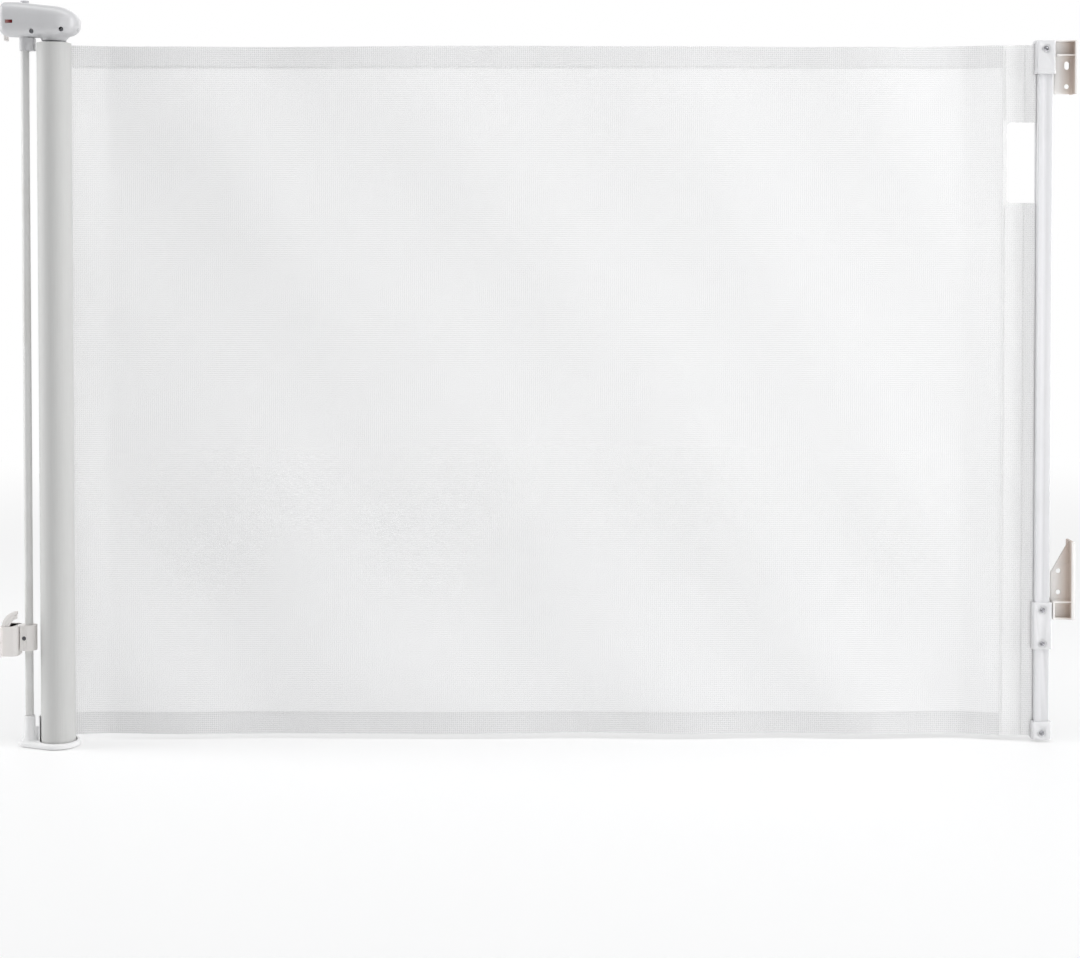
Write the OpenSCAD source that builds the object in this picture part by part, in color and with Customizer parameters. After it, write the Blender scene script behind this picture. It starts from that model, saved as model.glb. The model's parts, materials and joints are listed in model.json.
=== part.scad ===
/* [Opening] */
// Clear width between the two walls that the gate spans
opening_w = 1320; // [900:10:1500]
// Height of the mesh cloth
mesh_h = 855; // [500:5:1000]
// Height of the mesh's lower edge above the floor
mesh_low = 6; // [6:0.5:15]
// Thickness of one layer of the mesh cloth
cloth_t = 0.9; // [0.6:0.1:1.4]
// Height of the sewn hems along the top and the bottom of the mesh
hem_h = 28; // [15:1:45]
// Width of the doubled strip that ends the mesh at the bar
strip_w = 41; // [38:1:60]

/* [Handle opening] */
// Height of the hand hole in the doubled strip
handle_h = 99; // [70:1:140]
// Width of the hand hole
handle_w = 36; // [25:1:37]
// Distance from the top of the mesh down to the hand hole
handle_drop = 95; // [60:1:140]
// Radius of the hand hole's inner corners
handle_r = 6; // [2:0.5:10]

/* [Roller] */
// Distance from the left wall to the roller's axis
roll_u = 68.7; // [65:0.5:85]
// Outer radius of the wound mesh
roll_r = 21.3; // [18:0.1:24]
// Outer radius of the aluminium roller tube
tube_r = 17; // [15:0.1:17.5]
// Wall of the roller tube
tube_wall = 1.2; // [0.8:0.1:2]
// Radius of the hub's stem in the head's bearing
stem_r = 6; // [4:0.1:7]
// Radius of the fixed spring arbor
arbor_r = 5; // [4:0.1:6]
// Length of the spring arbor inside the tube
arbor_l = 210; // [150:5:300]
// Teeth on the ratchet wheel
ratchet_teeth = 24; // [12:1:30]
// Outer radius of the ratchet wheel
ratchet_r = 14.2; // [12:0.1:15]
// Height of the ratchet's teeth
tooth_h = 2.4; // [1.5:0.1:2.6]
// Radius of the torsion spring's wire
torsion_wire_r = 1; // [0.6:0.1:1.3]
// Turns of the torsion spring
torsion_turns = 16; // [8:1:24]
// Pitch of the torsion spring
torsion_pitch = 7; // [4:0.5:9]

/* [Guide rod] */
// Distance from the left wall to the guide rod's axis
rod_u = 33.2; // [31:0.2:38]
// Radius of the guide rod
rod_r = 5; // [4:0.1:5.5]
// Height of the rod's socket on the base
socket_h = 37; // [25:1:60]
// Outer radius of the rod's sockets
socket_r = 6.6; // [6.2:0.1:8]

/* [Head] */
// Length of the head's housing
head_l = 99; // [95:0.5:115]
// Height of the head's housing
head_h = 42.5; // [38:0.5:50]
// Half of the head's depth at the wall
head_d_wall = 20; // [18:0.5:24]
// Half of the head's greatest depth
head_d_max = 26; // [24:0.5:30]
// Wall of the head's shells
head_wall = 2.4; // [1.8:0.1:3]
// Gap between the wall and the head
head_gap = 1.8; // [0.5:0.1:4]
// Radius of the screws that close the head
head_screw_r = 1.5; // [1.2:0.1:2]
// Radius of the lock button
button_r = 5.2; // [4:0.1:6]
// How far the lock button stands out of the head
button_proud = 2; // [1:0.1:5]
// How far the lock button is pressed
button_travel = 4.5; // [3:0.1:5]
// Radius of the lock button's stem
button_stem_r = 3; // [2.5:0.1:3.5]
// Width of the lock's window
window_w = 9.4; // [6:0.1:12]
// Height of the lock's window
window_h = 4.2; // [3:0.1:6]
// Swing of the pawl between clear and engaged
pawl_swing = 13; // [11:0.5:15]

/* [Base] */
// Radius of the round foot below the roller
foot_r = 26.8; // [25:0.1:32]
// Height of the foot's rim
foot_h = 7; // [6:0.5:10]
// Thickness of the rubber pad under the foot
pad_t = 1; // [0.5:0.1:2]

/* [End bar] */
// Gap between the end bar and the right wall
bar_gap = 29.5; // [28.5:0.5:40]
// Width of the end bar
bar_w = 18; // [14:0.5:20]
// Depth of the end bar
bar_d = 18; // [14:0.5:19]
// Wall of the end bar
bar_wall = 1.5; // [1:0.1:2.5]
// Wall of the moulded caps on the bar
cap_wall = 2.8; // [2:0.1:3.5]
// Height of the bar's top cap
top_cap_h = 41; // [30:1:55]
// Height of the bar's middle connector
connector_h = 58; // [40:1:80]
// Height of the connector's lower end above the floor
connector_z = 115.7; // [90:1:300]
// Height of the bar's bottom cap
bottom_cap_h = 22; // [15:1:35]
// Radius of the heads of the bar's screws
bar_screw_head_r = 3; // [2.4:0.1:3.6]
// Radius of the threads of the bar's screws
bar_screw_r = 1.7; // [1.2:0.1:2]
// Reach of the hook's tongue below its arm
hook_drop = 8; // [6:0.5:10]
// Thickness of the hook's tongue
hook_t = 4.5; // [3:0.1:5]

/* [Wall brackets] */
// Thickness of the plates that lie on the walls
wall_plate_t = 3.5; // [2.5:0.1:4.5]
// Thickness of the facing plates
face_plate_t = 3; // [2:0.1:4]
// Height of the right upper bracket
upper_bracket_h = 65; // [60:1:80]
// Height of the right lower bracket
lower_bracket_h = 96.6; // [90:1:120]
// Radius of the screw holes in the brackets
screw_hole_r = 3; // [2:0.1:3.2]
// End-to-end length of the upper bracket's slot
slot_l = 10.3; // [8:0.1:14]
// Spacing of the two holes in the lower bracket's facing plate
lower_hole_gap = 26.4; // [20:0.2:32]
// Radius of the curved inner corner of the right brackets
corner_r = 5; // [3:0.5:6]

/* [Fits] */
// Gap between a moulded cap and the bar it is pushed on
cap_fit = 0.15; // [0.05:0.05:0.3]
// Radial gap of a turning or sliding fit
running_fit = 0.06; // [0.02:0.01:0.1]
// Gap between moving pieces that must not touch
part_gap = 0.5; // [0.3:0.1:1]

/* [Hidden] */
$fn = 48;
e = 0.01;

// Depth: the mesh hangs from the back of the roll, and the whole gate is centred on Y.
back_reach = 14;
roll_to_panel = roll_r + 0.3 + cloth_t / 2;
panel_y = (roll_to_panel + foot_r - back_reach) / 2;
roll_y = panel_y - roll_to_panel;
left_x = -opening_w / 2;
right_x = opening_w / 2;
roll_x = left_x + roll_u;

// Heights
mesh_top = mesh_low + mesh_h;
head_z = mesh_top + 7;
neck_z = mesh_top + 2;
foot_floor = 3.5;
collar_r = 10.6;
collar_top = head_z + 4;
ratchet_z = head_z + 14.5;
ratchet_t = 5;
bush_z = ratchet_z + ratchet_t + 1.5;
bush_h = 5;
bush_wall = 2;
stem_top = bush_z + bush_h + 1;

// End bar
bar_x1 = right_x - bar_gap;
bar_x0 = bar_x1 - bar_w;
bar_x = (bar_x0 + bar_x1) / 2;
bar_low = mesh_low;
bar_top = mesh_top + 2;
cap_x0 = bar_x0 - cap_wall;
cap_x1 = bar_x1 + cap_wall;
cap_d = bar_d + 2 * cap_wall - 1.6;
strip_x1 = bar_x0 - 0.4;
strip_x0 = strip_x1 - strip_w;
cloth_slot = 2 * cloth_t + 1.4;

// Right brackets and the hooks that drop into them
cap_rim = 0.6;
bracket_x0 = cap_x1 + cap_rim + part_gap;
face_y = panel_y + 1;
pocket_y0 = face_y + face_plate_t;
pocket_y1 = panel_y + back_reach - 2.5;
pocket_wall = 2.5;
pocket_x0 = bracket_x0 + pocket_wall;
pocket_l = hook_t + 3.5;
hook_y0 = pocket_y0 + 0.8;
hook_y1 = pocket_y1 - 0.8;
arm_h = 6;
upper_z1 = mesh_top + 5;
upper_z0 = upper_z1 - upper_bracket_h;
upper_arm_z = upper_z1 - arm_h - 0.4;
lower_arm_z = connector_z + connector_h - arm_h - 4.2;
lower_z0 = lower_arm_z - hook_drop - pocket_wall - part_gap;
side_front = 15;
slot_down = 11.1;
face_hole_up = 9.3;
wall_hole_gap = 26;
wall_hole_y = panel_y + back_reach - 5.2;

// Head
button_z = head_z + head_h + button_proud;
guide_z = head_z + 21;
guide_h = 3;
nose_round = 28;
wall_round = 9;
section_round = 15;
head_boss_r = 3.4;
head_screw_places = [[rod_u + 13.3, 5.8], [roll_u + 14.1, 8]];
window_u = 14.6;
window_z = 15.4;
spring_turns = 4;
spring_wire_r = 0.25;
spring_z = guide_z + guide_h + 0.5;
spring_l = button_travel + spring_turns * 2 * spring_wire_r + 0.25;
flange_z = spring_z + spring_l + 2 * spring_wire_r + 0.75;

// Lock: the pawl turns about a pin beside the ratchet wheel.
pawl_arm = 14;
pawl_pin_r = 1.5;
pawl_u = roll_u - ratchet_r - 0.5;

// Lifting off the left wall
cup_z = 112;
cup_h = 37;
clamp_h = 31;
clamp_z = cup_z + 6;

// ---------- shared shapes ----------

module at_left(u, dy, z) translate([left_x + u, roll_y + dy, z]) children();

module block(low, high) translate(low) cube([for (i = [0:2]) high[i] - low[i]]);

module rod_y(r, x, y0, y1, z) translate([x, y0, z]) rotate([-90, 0, 0]) cylinder(r = r, h = y1 - y0);

module rod_x_axis(r, x0, x1, y, z) translate([x0, y, z]) rotate([0, 90, 0]) cylinder(r = r, h = x1 - x0);

module ring(r_out, r_in, h) difference() {
  cylinder(r = r_out, h = h);
  translate([0, 0, -1]) cylinder(r = r_in, h = h + 2);
}

module rounded_rect(w, d, r) {
  square([w - 2 * r, d], center = true);
  square([w, d - 2 * r], center = true);
  for (sx = [-1, 1], sy = [-1, 1]) translate([sx * (w / 2 - r), sy * (d / 2 - r)]) circle(r);
}

// A round wire swept along a list of points, with flat ends
module wire(points, r, sides = 6) {
  n = len(points);
  function dir(i) = let (d = points[min(i + 1, n - 1)] - points[max(i - 1, 0)]) d / norm(d);
  function side(i) = let (s = cross(dir(i), [0, 0, 1])) s / norm(s);
  function up(i) = cross(side(i), dir(i));
  ring_points = [for (i = [0:n - 1], k = [0:sides - 1])
    points[i] + r * cos(360 * k / sides) * side(i) + r * sin(360 * k / sides) * up(i)];
  walls = [for (i = [0:n - 2], k = [0:sides - 1])
    [i * sides + k, (i + 1) * sides + k, (i + 1) * sides + (k + 1) % sides, i * sides + (k + 1) % sides]];
  ends = [[for (k = [0:sides - 1]) k], [for (k = [0:sides - 1]) n * sides - 1 - k]];
  polyhedron(points = ring_points, faces = concat(walls, ends));
}

module coil(mean_r, wire_r, turns, pitch, steps = 12)
  wire([for (i = [0:turns * steps]) [mean_r * cos(360 * i / steps), mean_r * sin(360 * i / steps),
    pitch * i / steps]], wire_r);

// ---------- wall brackets ----------

// Open-topped pocket behind a bracket, whose near wall is lower so that the hook's arm passes over it
module hook_pocket(z0, z1, arm_z) {
  difference() {
    block([bracket_x0, face_y + e, z0], [pocket_x0 + pocket_l + pocket_wall, panel_y + back_reach, z1]);
    block([pocket_x0, pocket_y0, z0 + pocket_wall], [pocket_x0 + pocket_l, pocket_y1, z1 + 1]);
    block([bracket_x0 - 1, pocket_y0, arm_z - part_gap], [pocket_x0 + 1, pocket_y1, z1 + 1]);
  }
}

module bracket_corner(z0, z1) difference() {
  x = right_x - wall_plate_t;
  block([x - corner_r, face_y - corner_r, z0], [x + e, face_y + e, z1]);
  translate([x - corner_r, face_y - corner_r, z0 - 1]) cylinder(r = corner_r, h = z1 - z0 + 2);
}

module right_upper_wall_bracket() color("linen") {
  shelf_z = upper_arm_z - hook_drop - pocket_wall - 2;
  slot_z = shelf_z - slot_down;
  slot_reach = slot_l / 2 - screw_hole_r;
  hole_x = right_x - 10;
  difference() {
    union() {
      block([right_x - wall_plate_t, panel_y - side_front, upper_z0], [right_x, panel_y + back_reach, upper_z1]);
      block([bracket_x0, face_y, upper_z0], [right_x - 1, pocket_y0, upper_z1]);
      bracket_corner(upper_z0, upper_z1);
      hook_pocket(shelf_z, upper_z1, upper_arm_z);
      block([bracket_x0, panel_y - 11, shelf_z], [right_x - 1, face_y + 1, shelf_z + 2]);
      block([bracket_x0, panel_y - 11, upper_z1 - 1.6], [right_x - 1, face_y + 1, upper_z1]);
    }
    for (way = [-1, 1]) rod_y(screw_hole_r, hole_x, face_y - 6, pocket_y0 + 1, slot_z + way * slot_reach);
    block([hole_x - screw_hole_r, face_y - 6, slot_z - slot_reach],
      [hole_x + screw_hole_r, pocket_y0 + 1, slot_z + slot_reach]);
    rod_y(screw_hole_r, hole_x, face_y - 6, pocket_y0 + 1, upper_z0 + face_hole_up);
    for (z = [upper_z0 + face_hole_up, upper_z0 + face_hole_up + wall_hole_gap])
      rod_x_axis(screw_hole_r - 0.5, right_x - wall_plate_t - 1, right_x + 1, wall_hole_y, z);
  }
}

module right_lower_wall_bracket() color("linen") {
  z1 = lower_z0 + lower_bracket_h;
  slope_z = lower_z0 + 0.585 * lower_bracket_h;
  shelf_z = lower_z0 + 22.5;
  hole_x = right_x - 16.1;
  hole_z = lower_z0 + 32;
  difference() {
    union() {
      block([right_x - wall_plate_t, panel_y - side_front, lower_z0], [right_x, panel_y + back_reach, z1]);
      translate([0, pocket_y0, 0]) rotate([90, 0, 0]) linear_extrude(face_plate_t)
        polygon([[bracket_x0, lower_z0], [right_x - 1, lower_z0], [right_x - 1, z1],
          [right_x - wall_plate_t + 0.6, z1], [bracket_x0, slope_z]]);
      bracket_corner(lower_z0, slope_z + 12);
      hook_pocket(lower_z0, shelf_z, lower_arm_z);
      block([bracket_x0, panel_y - 11, lower_z0], [right_x - 1, face_y + 1, lower_z0 + 2]);
      block([bracket_x0, panel_y - 11, lower_z0 + 1], [bracket_x0 + 2.4, face_y + 1, shelf_z - 1]);
      block([bracket_x0, panel_y - 11, shelf_z - 2], [right_x - 1, face_y + 1, shelf_z]);
    }
    for (z = [hole_z, hole_z + lower_hole_gap]) rod_y(screw_hole_r, hole_x, face_y - 6, pocket_y0 + 1, z);
    for (z = [hole_z + 4, hole_z + 4 + lower_hole_gap])
      rod_x_axis(screw_hole_r - 0.5, right_x - wall_plate_t - 1, right_x + 1, wall_hole_y, z);
  }
}

// Pocket for the lug on the back of the head
lug_y0 = 27.4;
lug_y1 = 31.9;
lug_z = head_z + 9;
lug_arm_z = head_z + 23;
lug_u0 = 7;
lug_u1 = 12;

module left_upper_wall_bracket() color("whitesmoke") {
  z0 = head_z - 1;
  z1 = head_z + 40;
  y0 = lug_y0 - part_gap - 2.5;
  y1 = roll_to_panel + back_reach;
  u1 = lug_u1 + part_gap + 2.5;
  at_left(0, 0, 0) difference() {
    union() {
      block([0, y0, z0], [wall_plate_t, y1, z1]);
      block([1, y0, lug_z - 4], [u1, y1, lug_arm_z - part_gap]);
    }
    block([lug_u0 - part_gap, lug_y0 - part_gap, lug_z - 1], [lug_u1 + part_gap, lug_y1 + part_gap, z1 + 1]);
    for (z = [z0 + 3, z1 - 4]) rod_x_axis(screw_hole_r - 1.2, -1, wall_plate_t + 1, (y0 + y1) / 2, z);
  }
}

// Cup that holds the rod clamp's tongue, with a curved guard finger above its front wall
tongue_u0 = 9;
tongue_u1 = 14;
tongue_d = 10;
clamp_arm_z = clamp_z + clamp_h - 8;

module left_lower_wall_bracket() color("linen") {
  cup_u1 = rod_u - 10.6;
  cup_d = 26;
  plate_d = 40;
  finger_r = 18;
  at_left(0, 0, 0) {
    difference() {
      union() {
        block([0, -plate_d / 2, cup_z], [wall_plate_t, plate_d / 2, cup_z + cup_h]);
        translate([cup_u1 / 2 + 1, 0, cup_z]) linear_extrude(cup_h) rounded_rect(cup_u1 - 2, cup_d, 7);
        block([1, -cup_d / 2, cup_z], [cup_u1 / 2, cup_d / 2, cup_z + cup_h]);
      }
      block([tongue_u0 - 3, -tongue_d / 2 - 1.5, cup_z + 3],
        [tongue_u1 + 3, tongue_d / 2 + 1.5, cup_z + cup_h + 1]);
      block([tongue_u1, -tongue_d / 2 - 1.5, clamp_arm_z - part_gap],
        [cup_u1 + 1, tongue_d / 2 + 1.5, cup_z + cup_h + 1]);
      for (y = [-16.5, 16.5]) rod_x_axis(screw_hole_r - 1, -1, wall_plate_t + 1, y, cup_z + cup_h / 2);
    }
    translate([cup_u1, -tongue_d / 2 - 2, cup_z + cup_h - 1.5]) rotate([90, 0, 0])
      rotate([0, 0, 92]) rotate_extrude(angle = 90) translate([finger_r - 2, 0]) square([4, 5.5]);
  }
}

// ---------- head ----------

function end_round(t, p) = t >= 1 ? 1 : pow(1 - pow(1 - max(t, 0), p), 1 / p);

// Outlines of the head, shrunk by s: half of its depth, and its top and underside, at u from its wall end
function head_depth(u, s) = let (l = head_l - 2 * s)
  (head_d_wall + (head_d_max - head_d_wall) * min(1, u / (0.65 * l)) - s)
  * min(end_round((u + 0.6) / wall_round, 3), end_round((l + 0.25 - u) / nose_round, 2.2));
function head_middle(u) = (0.49 - 0.09 * u / head_l) * head_h;
function head_edge(u, s, up) = let (l = head_l - 2 * s, middle = head_middle(u),
  grow = min(end_round((u + 0.25) / wall_round, 2.5), end_round((l + 0.25 - u) / nose_round, 2)),
  top = head_h - s - max(0, u - 0.25 * l) * 0.11,
  low = s + 1.8 * pow(max(0, 1 - u / (0.5 * l)), 2))
  middle + grow * (up ? top - middle : low - middle);

// Closed body of the head: its side outline, its plan and its rounded cross-section where all three meet
module head_body(s) {
  steps = 15;
  length = head_l - 2 * s;
  us = [for (i = [0:steps]) length * (1 - cos(180 * i / steps)) / 2];
  back = [for (i = [steps:-1:0]) us[i]];
  at_left(head_gap + s, 0, head_z) intersection() {
    translate([0, 40, 0]) rotate([90, 0, 0]) linear_extrude(80) polygon(concat(
      [for (u = us) [u, head_edge(u, s, true)]], [for (u = back) [u, head_edge(u, s, false)]]));
    translate([0, 0, -5]) linear_extrude(head_h + 10) polygon(concat(
      [for (u = us) [u, head_depth(u, s)]], [for (u = back) [u, -head_depth(u, s)]]));
    translate([-5, 0, head_h / 2]) rotate([90, 0, 90]) linear_extrude(head_l + 10)
      rounded_rect(2 * (head_d_max - s), head_h - 2 * s, section_round - s);
  }
}

// One half of the head: way is -1 for the front shell and 1 for the back shell.
module head_shell(way) {
  y0 = way < 0 ? -40 : 0;
  y1 = way < 0 ? 0 : 40;
  collar_hole = collar_r + 0.7;
  neck_r = 17;
  difference() {
    union() {
      difference() {
        head_body(0);
        head_body(head_wall);
      }
      intersection() {
        head_body(0.4);
        at_left(0, 0, 0) {
          block([roll_u - 11, y0, bush_z], [roll_u + 11, y1, bush_z + bush_h]);
          block([rod_u - 8, y0, guide_z], [rod_u + 8, y1, guide_z + guide_h]);
          for (p = head_screw_places) rod_y(head_boss_r, p[0], -24, 24, head_z + p[1]);
          if (way < 0) translate([pawl_u, -pawl_arm, head_z]) cylinder(r = 3.4, h = ratchet_z - head_z - 0.4);
        }
      }
      at_left(roll_u, 0, neck_z) cylinder(r1 = 13.5, r2 = neck_r, h = head_z + head_wall - neck_z);
      if (way > 0) {
        at_left(0, 0, 0) block([lug_u0, 15.5, lug_arm_z], [lug_u1, lug_y1, lug_arm_z + 6]);
        at_left(0, 0, 0) block([lug_u0, lug_y0, lug_z], [lug_u1, lug_y1, lug_arm_z + 1]);
      }
    }
    at_left(0, 0, head_z - 40) translate([-10, way < 0 ? 0 : -60, 0]) cube([130, 60, 120]);
    at_left(roll_u, 0, neck_z - 1) cylinder(r = collar_hole, h = collar_top + part_gap - neck_z + 1);
    at_left(roll_u, 0, bush_z - 1) cylinder(r = stem_r + bush_wall, h = bush_h + 2);
    at_left(rod_u, 0, head_z - 1) cylinder(r = socket_r + part_gap / 2, h = 8);
    at_left(rod_u, 0, guide_z - 1) cylinder(r = button_stem_r + running_fit, h = guide_h + 2);
    at_left(rod_u, 0, guide_z + 10) cylinder(r = button_r + part_gap / 2, h = head_h);
    at_left(0, 0, 0) {
      for (p = head_screw_places) rod_y(head_screw_r, p[0], -30, 12, head_z + p[1]);
      for (p = head_screw_places) rod_y(head_screw_r + 1.2, p[0], -30, -17, head_z + p[1]);
      if (way < 0) {
        block([window_u, -30, head_z + window_z], [window_u + window_w, -12, head_z + window_z + window_h]);
        translate([pawl_u, -pawl_arm, ratchet_z - 6]) cylinder(r = pawl_pin_r, h = 8);
      }
    }
  }
}

module head_front_shell() color("gainsboro") head_shell(-1);

module head_back_shell() color("gainsboro") head_shell(1);

module head_screws() color("silver") for (p = head_screw_places) difference() {
  union() {
    at_left(0, 0, 0) rod_y(head_screw_r, p[0], -18, 10, head_z + p[1]);
    at_left(0, 0, 0) rod_y(head_screw_r + 1, p[0], -19, -17, head_z + p[1]);
  }
  at_left(0, 0, 0) block([p[0] - 1.6, -20, head_z + p[1] - 0.3], [p[0] + 1.6, -18.2, head_z + p[1] + 0.3]);
}

module upper_rod_socket() color("gainsboro") difference() {
  z0 = head_z - 16.5;
  union() {
    at_left(rod_u, 0, z0) cylinder(r = socket_r, h = 21.5);
    at_left(rod_u, 0, 0) block([0, -socket_r + 0.4, z0 + 0.4], [socket_r + 5.2, socket_r - 0.4, head_z - 0.6]);
  }
  at_left(rod_u, 0, z0 - 1) cylinder(r = rod_r, h = 30);
}

module guide_rod() color("gainsboro")
  at_left(rod_u, 0, pad_t + foot_floor) cylinder(r = rod_r, h = head_z + 8 - pad_t - foot_floor);

// ---------- base ----------

module foot_outline(inset) {
  tail_r = 13.5;
  gap = roll_u - rod_u;
  lean = (foot_r - tail_r) / gap;
  rise = sqrt(1 - lean * lean);
  edge = function (r) [-lean * (r - 0.05 - inset), rise * (r - 0.05 - inset)];
  a = edge(foot_r);
  b = edge(tail_r);
  translate([roll_u, 0]) circle(r = foot_r - inset, $fn = 96);
  translate([rod_u, 0]) circle(r = tail_r - inset);
  polygon([[roll_u + a[0], a[1]], [rod_u + b[0], b[1]], [rod_u + b[0], -b[1]], [roll_u + a[0], -a[1]]]);
}

module base_foot() color("whitesmoke") {
  guard_r = roll_r + 2.6;
  at_left(0, 0, 0) difference() {
    union() {
      translate([0, 0, pad_t]) linear_extrude(foot_floor - pad_t + 1) foot_outline(0);
      translate([0, 0, foot_floor]) linear_extrude(foot_h - foot_floor) foot_outline(1);
      translate([rod_u, 0, foot_floor]) cylinder(r = socket_r, h = socket_h - foot_floor);
      translate([roll_u, 0, foot_h - 1]) intersection() {
        ring(guard_r, guard_r - 1.3, socket_h - foot_h);
        block([-30, -9, 0], [-15, 9, 60]);
      }
      block([rod_u + 4, -1.5, foot_h - 1], [roll_u - guard_r + 0.4, 1.5, foot_h + 16]);
    }
    translate([roll_u, 0, foot_floor]) cylinder(r = roll_r + 1.2, h = foot_h);
    translate([rod_u, 0, pad_t + foot_floor]) cylinder(r = rod_r, h = socket_h + 5);
    translate([roll_u, 0, 0]) cylinder(r = arbor_r, h = foot_h);
    block([roll_u, roll_to_panel - cloth_t, mesh_low - part_gap],
      [roll_u + foot_r + 1, roll_to_panel + 1.5 * cloth_t, foot_h + 1]);
  }
}

module foot_pad() color("gray") at_left(0, 0, 0) linear_extrude(pad_t) foot_outline(2.5);

// ---------- rod clamp ----------

module rod_clamp() color("linen") difference() {
  body_r = 9.8;
  at_left(0, 0, 0) {
    translate([rod_u, 0, clamp_z]) cylinder(r = body_r, h = clamp_h);
    block([rod_u - 9.6, -8, clamp_z], [rod_u, 8, clamp_z + clamp_h]);
    block([tongue_u0, -tongue_d / 2, clamp_arm_z], [rod_u - 9, tongue_d / 2, clamp_z + clamp_h]);
    block([tongue_u0, -tongue_d / 2, cup_z + 12], [tongue_u1, tongue_d / 2, clamp_arm_z + 1]);
  }
  at_left(rod_u, 0, clamp_z - 1) cylinder(r = rod_r, h = clamp_h + 2);
  at_left(0, 0, 0) rod_y(1.4, rod_u - 4, -12, -rod_r + 1.5, clamp_z + clamp_h / 2);
  at_left(0, 0, 0) rod_y(2.6, rod_u - 4, -12, -7.4, clamp_z + clamp_h / 2);
}

module rod_clamp_screw() color("dimgray") at_left(0, 0, 0) {
  z = clamp_z + clamp_h / 2;
  difference() {
    union() {
      rod_y(1.4, rod_u - 4, -8.2, -5, z);
      rod_y(2.5, rod_u - 4, -8.8, -7.4, z);
    }
    block([rod_u - 5.6, -9, z - 0.3], [rod_u - 2.4, -8.2, z + 0.3]);
  }
}

// ---------- roller ----------

hub_h = 12;

module roller_tube() color("silver") at_left(roll_u, 0, mesh_low - 1)
  ring(tube_r, tube_r - tube_wall, mesh_h + 2);

module wound_mesh() color("white") at_left(roll_u, 0, mesh_low) ring(roll_r, tube_r, mesh_h);

module upper_hub() color("dimgray") at_left(roll_u, 0, 0) {
  translate([0, 0, mesh_top + 1 - hub_h]) cylinder(r = tube_r - tube_wall, h = hub_h);
  translate([0, 0, mesh_top]) cylinder(r = collar_r, h = collar_top - mesh_top);
  translate([0, 0, head_z]) cylinder(r = stem_r, h = stem_top - head_z);
}

module lower_hub() color("dimgray") at_left(roll_u, 0, mesh_low - 1)
  ring(tube_r - tube_wall, arbor_r + running_fit, hub_h);

module spring_arbor() color("silver") at_left(roll_u, 0, pad_t + 0.5) difference() {
  cylinder(r = arbor_r, h = arbor_l);
  translate([-0.8, -arbor_r - 1, arbor_l - 14]) cube([1.6, 2 * arbor_r + 2, 15]);
}

module torsion_spring() color("dimgray") at_left(roll_u, 0, mesh_low + hub_h + 8)
  coil((tube_r - tube_wall + arbor_r) / 2, torsion_wire_r, torsion_turns, torsion_pitch);

module ratchet_wheel() color("dimgray") at_left(roll_u, 0, ratchet_z) difference() {
  pitch = 360 / ratchet_teeth;
  root_r = ratchet_r - tooth_h;
  profile = [[0, ratchet_r], [0.13, ratchet_r], [0.6, root_r], [0.9, root_r]];
  middle_of_gap = 0.75 * pitch;
  linear_extrude(ratchet_t) rotate(180 - middle_of_gap) polygon([for (i = [0:ratchet_teeth - 1], p = profile)
    p[1] * [cos(pitch * (i + p[0])), sin(pitch * (i + p[0]))]]);
  translate([0, 0, -1]) cylinder(r = stem_r, h = ratchet_t + 2);
}

module stem_bush() color("goldenrod") at_left(roll_u, 0, bush_z)
  ring(stem_r + bush_wall, stem_r + running_fit, bush_h);

// ---------- lock ----------

module pawl_pin() color("silver") at_left(pawl_u, -pawl_arm, ratchet_z - 5.5)
  cylinder(r = pawl_pin_r, h = ratchet_t + 6.5);

// Drawn engaged, with its tip in a gap of the ratchet wheel, and then turned clear
module pawl() color("dimgray") at_left(pawl_u, -pawl_arm, ratchet_z + 0.3) rotate(pawl_swing)
  linear_extrude(ratchet_t - 0.6) difference() {
    tip_x = 0.5 + tooth_h - 0.2;
    tail = [-15.8, 9.6];
    union() {
      circle(r = 3.2);
      polygon([[-1.9, 0], [1.6, 0], [0.4, pawl_arm - 0.9], [tip_x, pawl_arm - 0.3], [tip_x, pawl_arm + 0.3],
        [0.2, pawl_arm + 0.9], [-1.9, pawl_arm + 0.6]]);
      polygon([[-1, -2.6], [0, 2.2], tail + [0.8, 1.4], tail - [0.8, 1.0]]);
    }
    circle(r = pawl_pin_r + running_fit);
  }

module lock_button() color("gainsboro") at_left(rod_u, 0, 0) {
  translate([0, 0, flange_z]) cylinder(r = button_r, h = button_z - flange_z);
  translate([0, 0, head_z + 13.5]) cylinder(r = button_stem_r, h = flange_z - head_z - 13);
}

module button_spring() color("silver") at_left(rod_u, 0, spring_z)
  coil(button_stem_r + 1.2, spring_wire_r, spring_turns, spring_l / spring_turns);

module lock_indicator() color("firebrick") at_left(0, 0, 0) {
  y = head_wall - head_d_wall - 0.2;
  block([window_u - 1.4, y, head_z + window_z - 1], [window_u + window_w + 1, y + 1, head_z + window_z + window_h + 1]);
}

// ---------- mesh ----------

module mesh_panel() color("white")
  block([roll_x, panel_y - cloth_t / 2, mesh_low], [strip_x0, panel_y + cloth_t / 2, mesh_top]);

module hem(z0) block([roll_x + roll_r + 1, panel_y + cloth_t / 2, z0], [strip_x0, panel_y + 1.2 * cloth_t, z0 + hem_h]);

module top_hem() color("white") hem(mesh_top - hem_h);

module bottom_hem() color("whitesmoke") hem(mesh_low);

module end_strip() color("white") difference() {
  block([strip_x0, panel_y - cloth_t, mesh_low], [strip_x1, panel_y + cloth_t, mesh_top]);
  z1 = mesh_top - handle_drop;
  z0 = z1 - handle_h;
  x0 = strip_x1 - handle_w;
  block([x0 + handle_r, panel_y - 5, z0], [strip_x1 + 1, panel_y + 5, z1]);
  block([x0, panel_y - 5, z0 + handle_r], [strip_x1 + 1, panel_y + 5, z1 - handle_r]);
  for (z = [z0 + handle_r, z1 - handle_r]) rod_y(handle_r, x0 + handle_r, panel_y - 5, panel_y + 5, z);
}

spline_r = 2.6;

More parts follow.
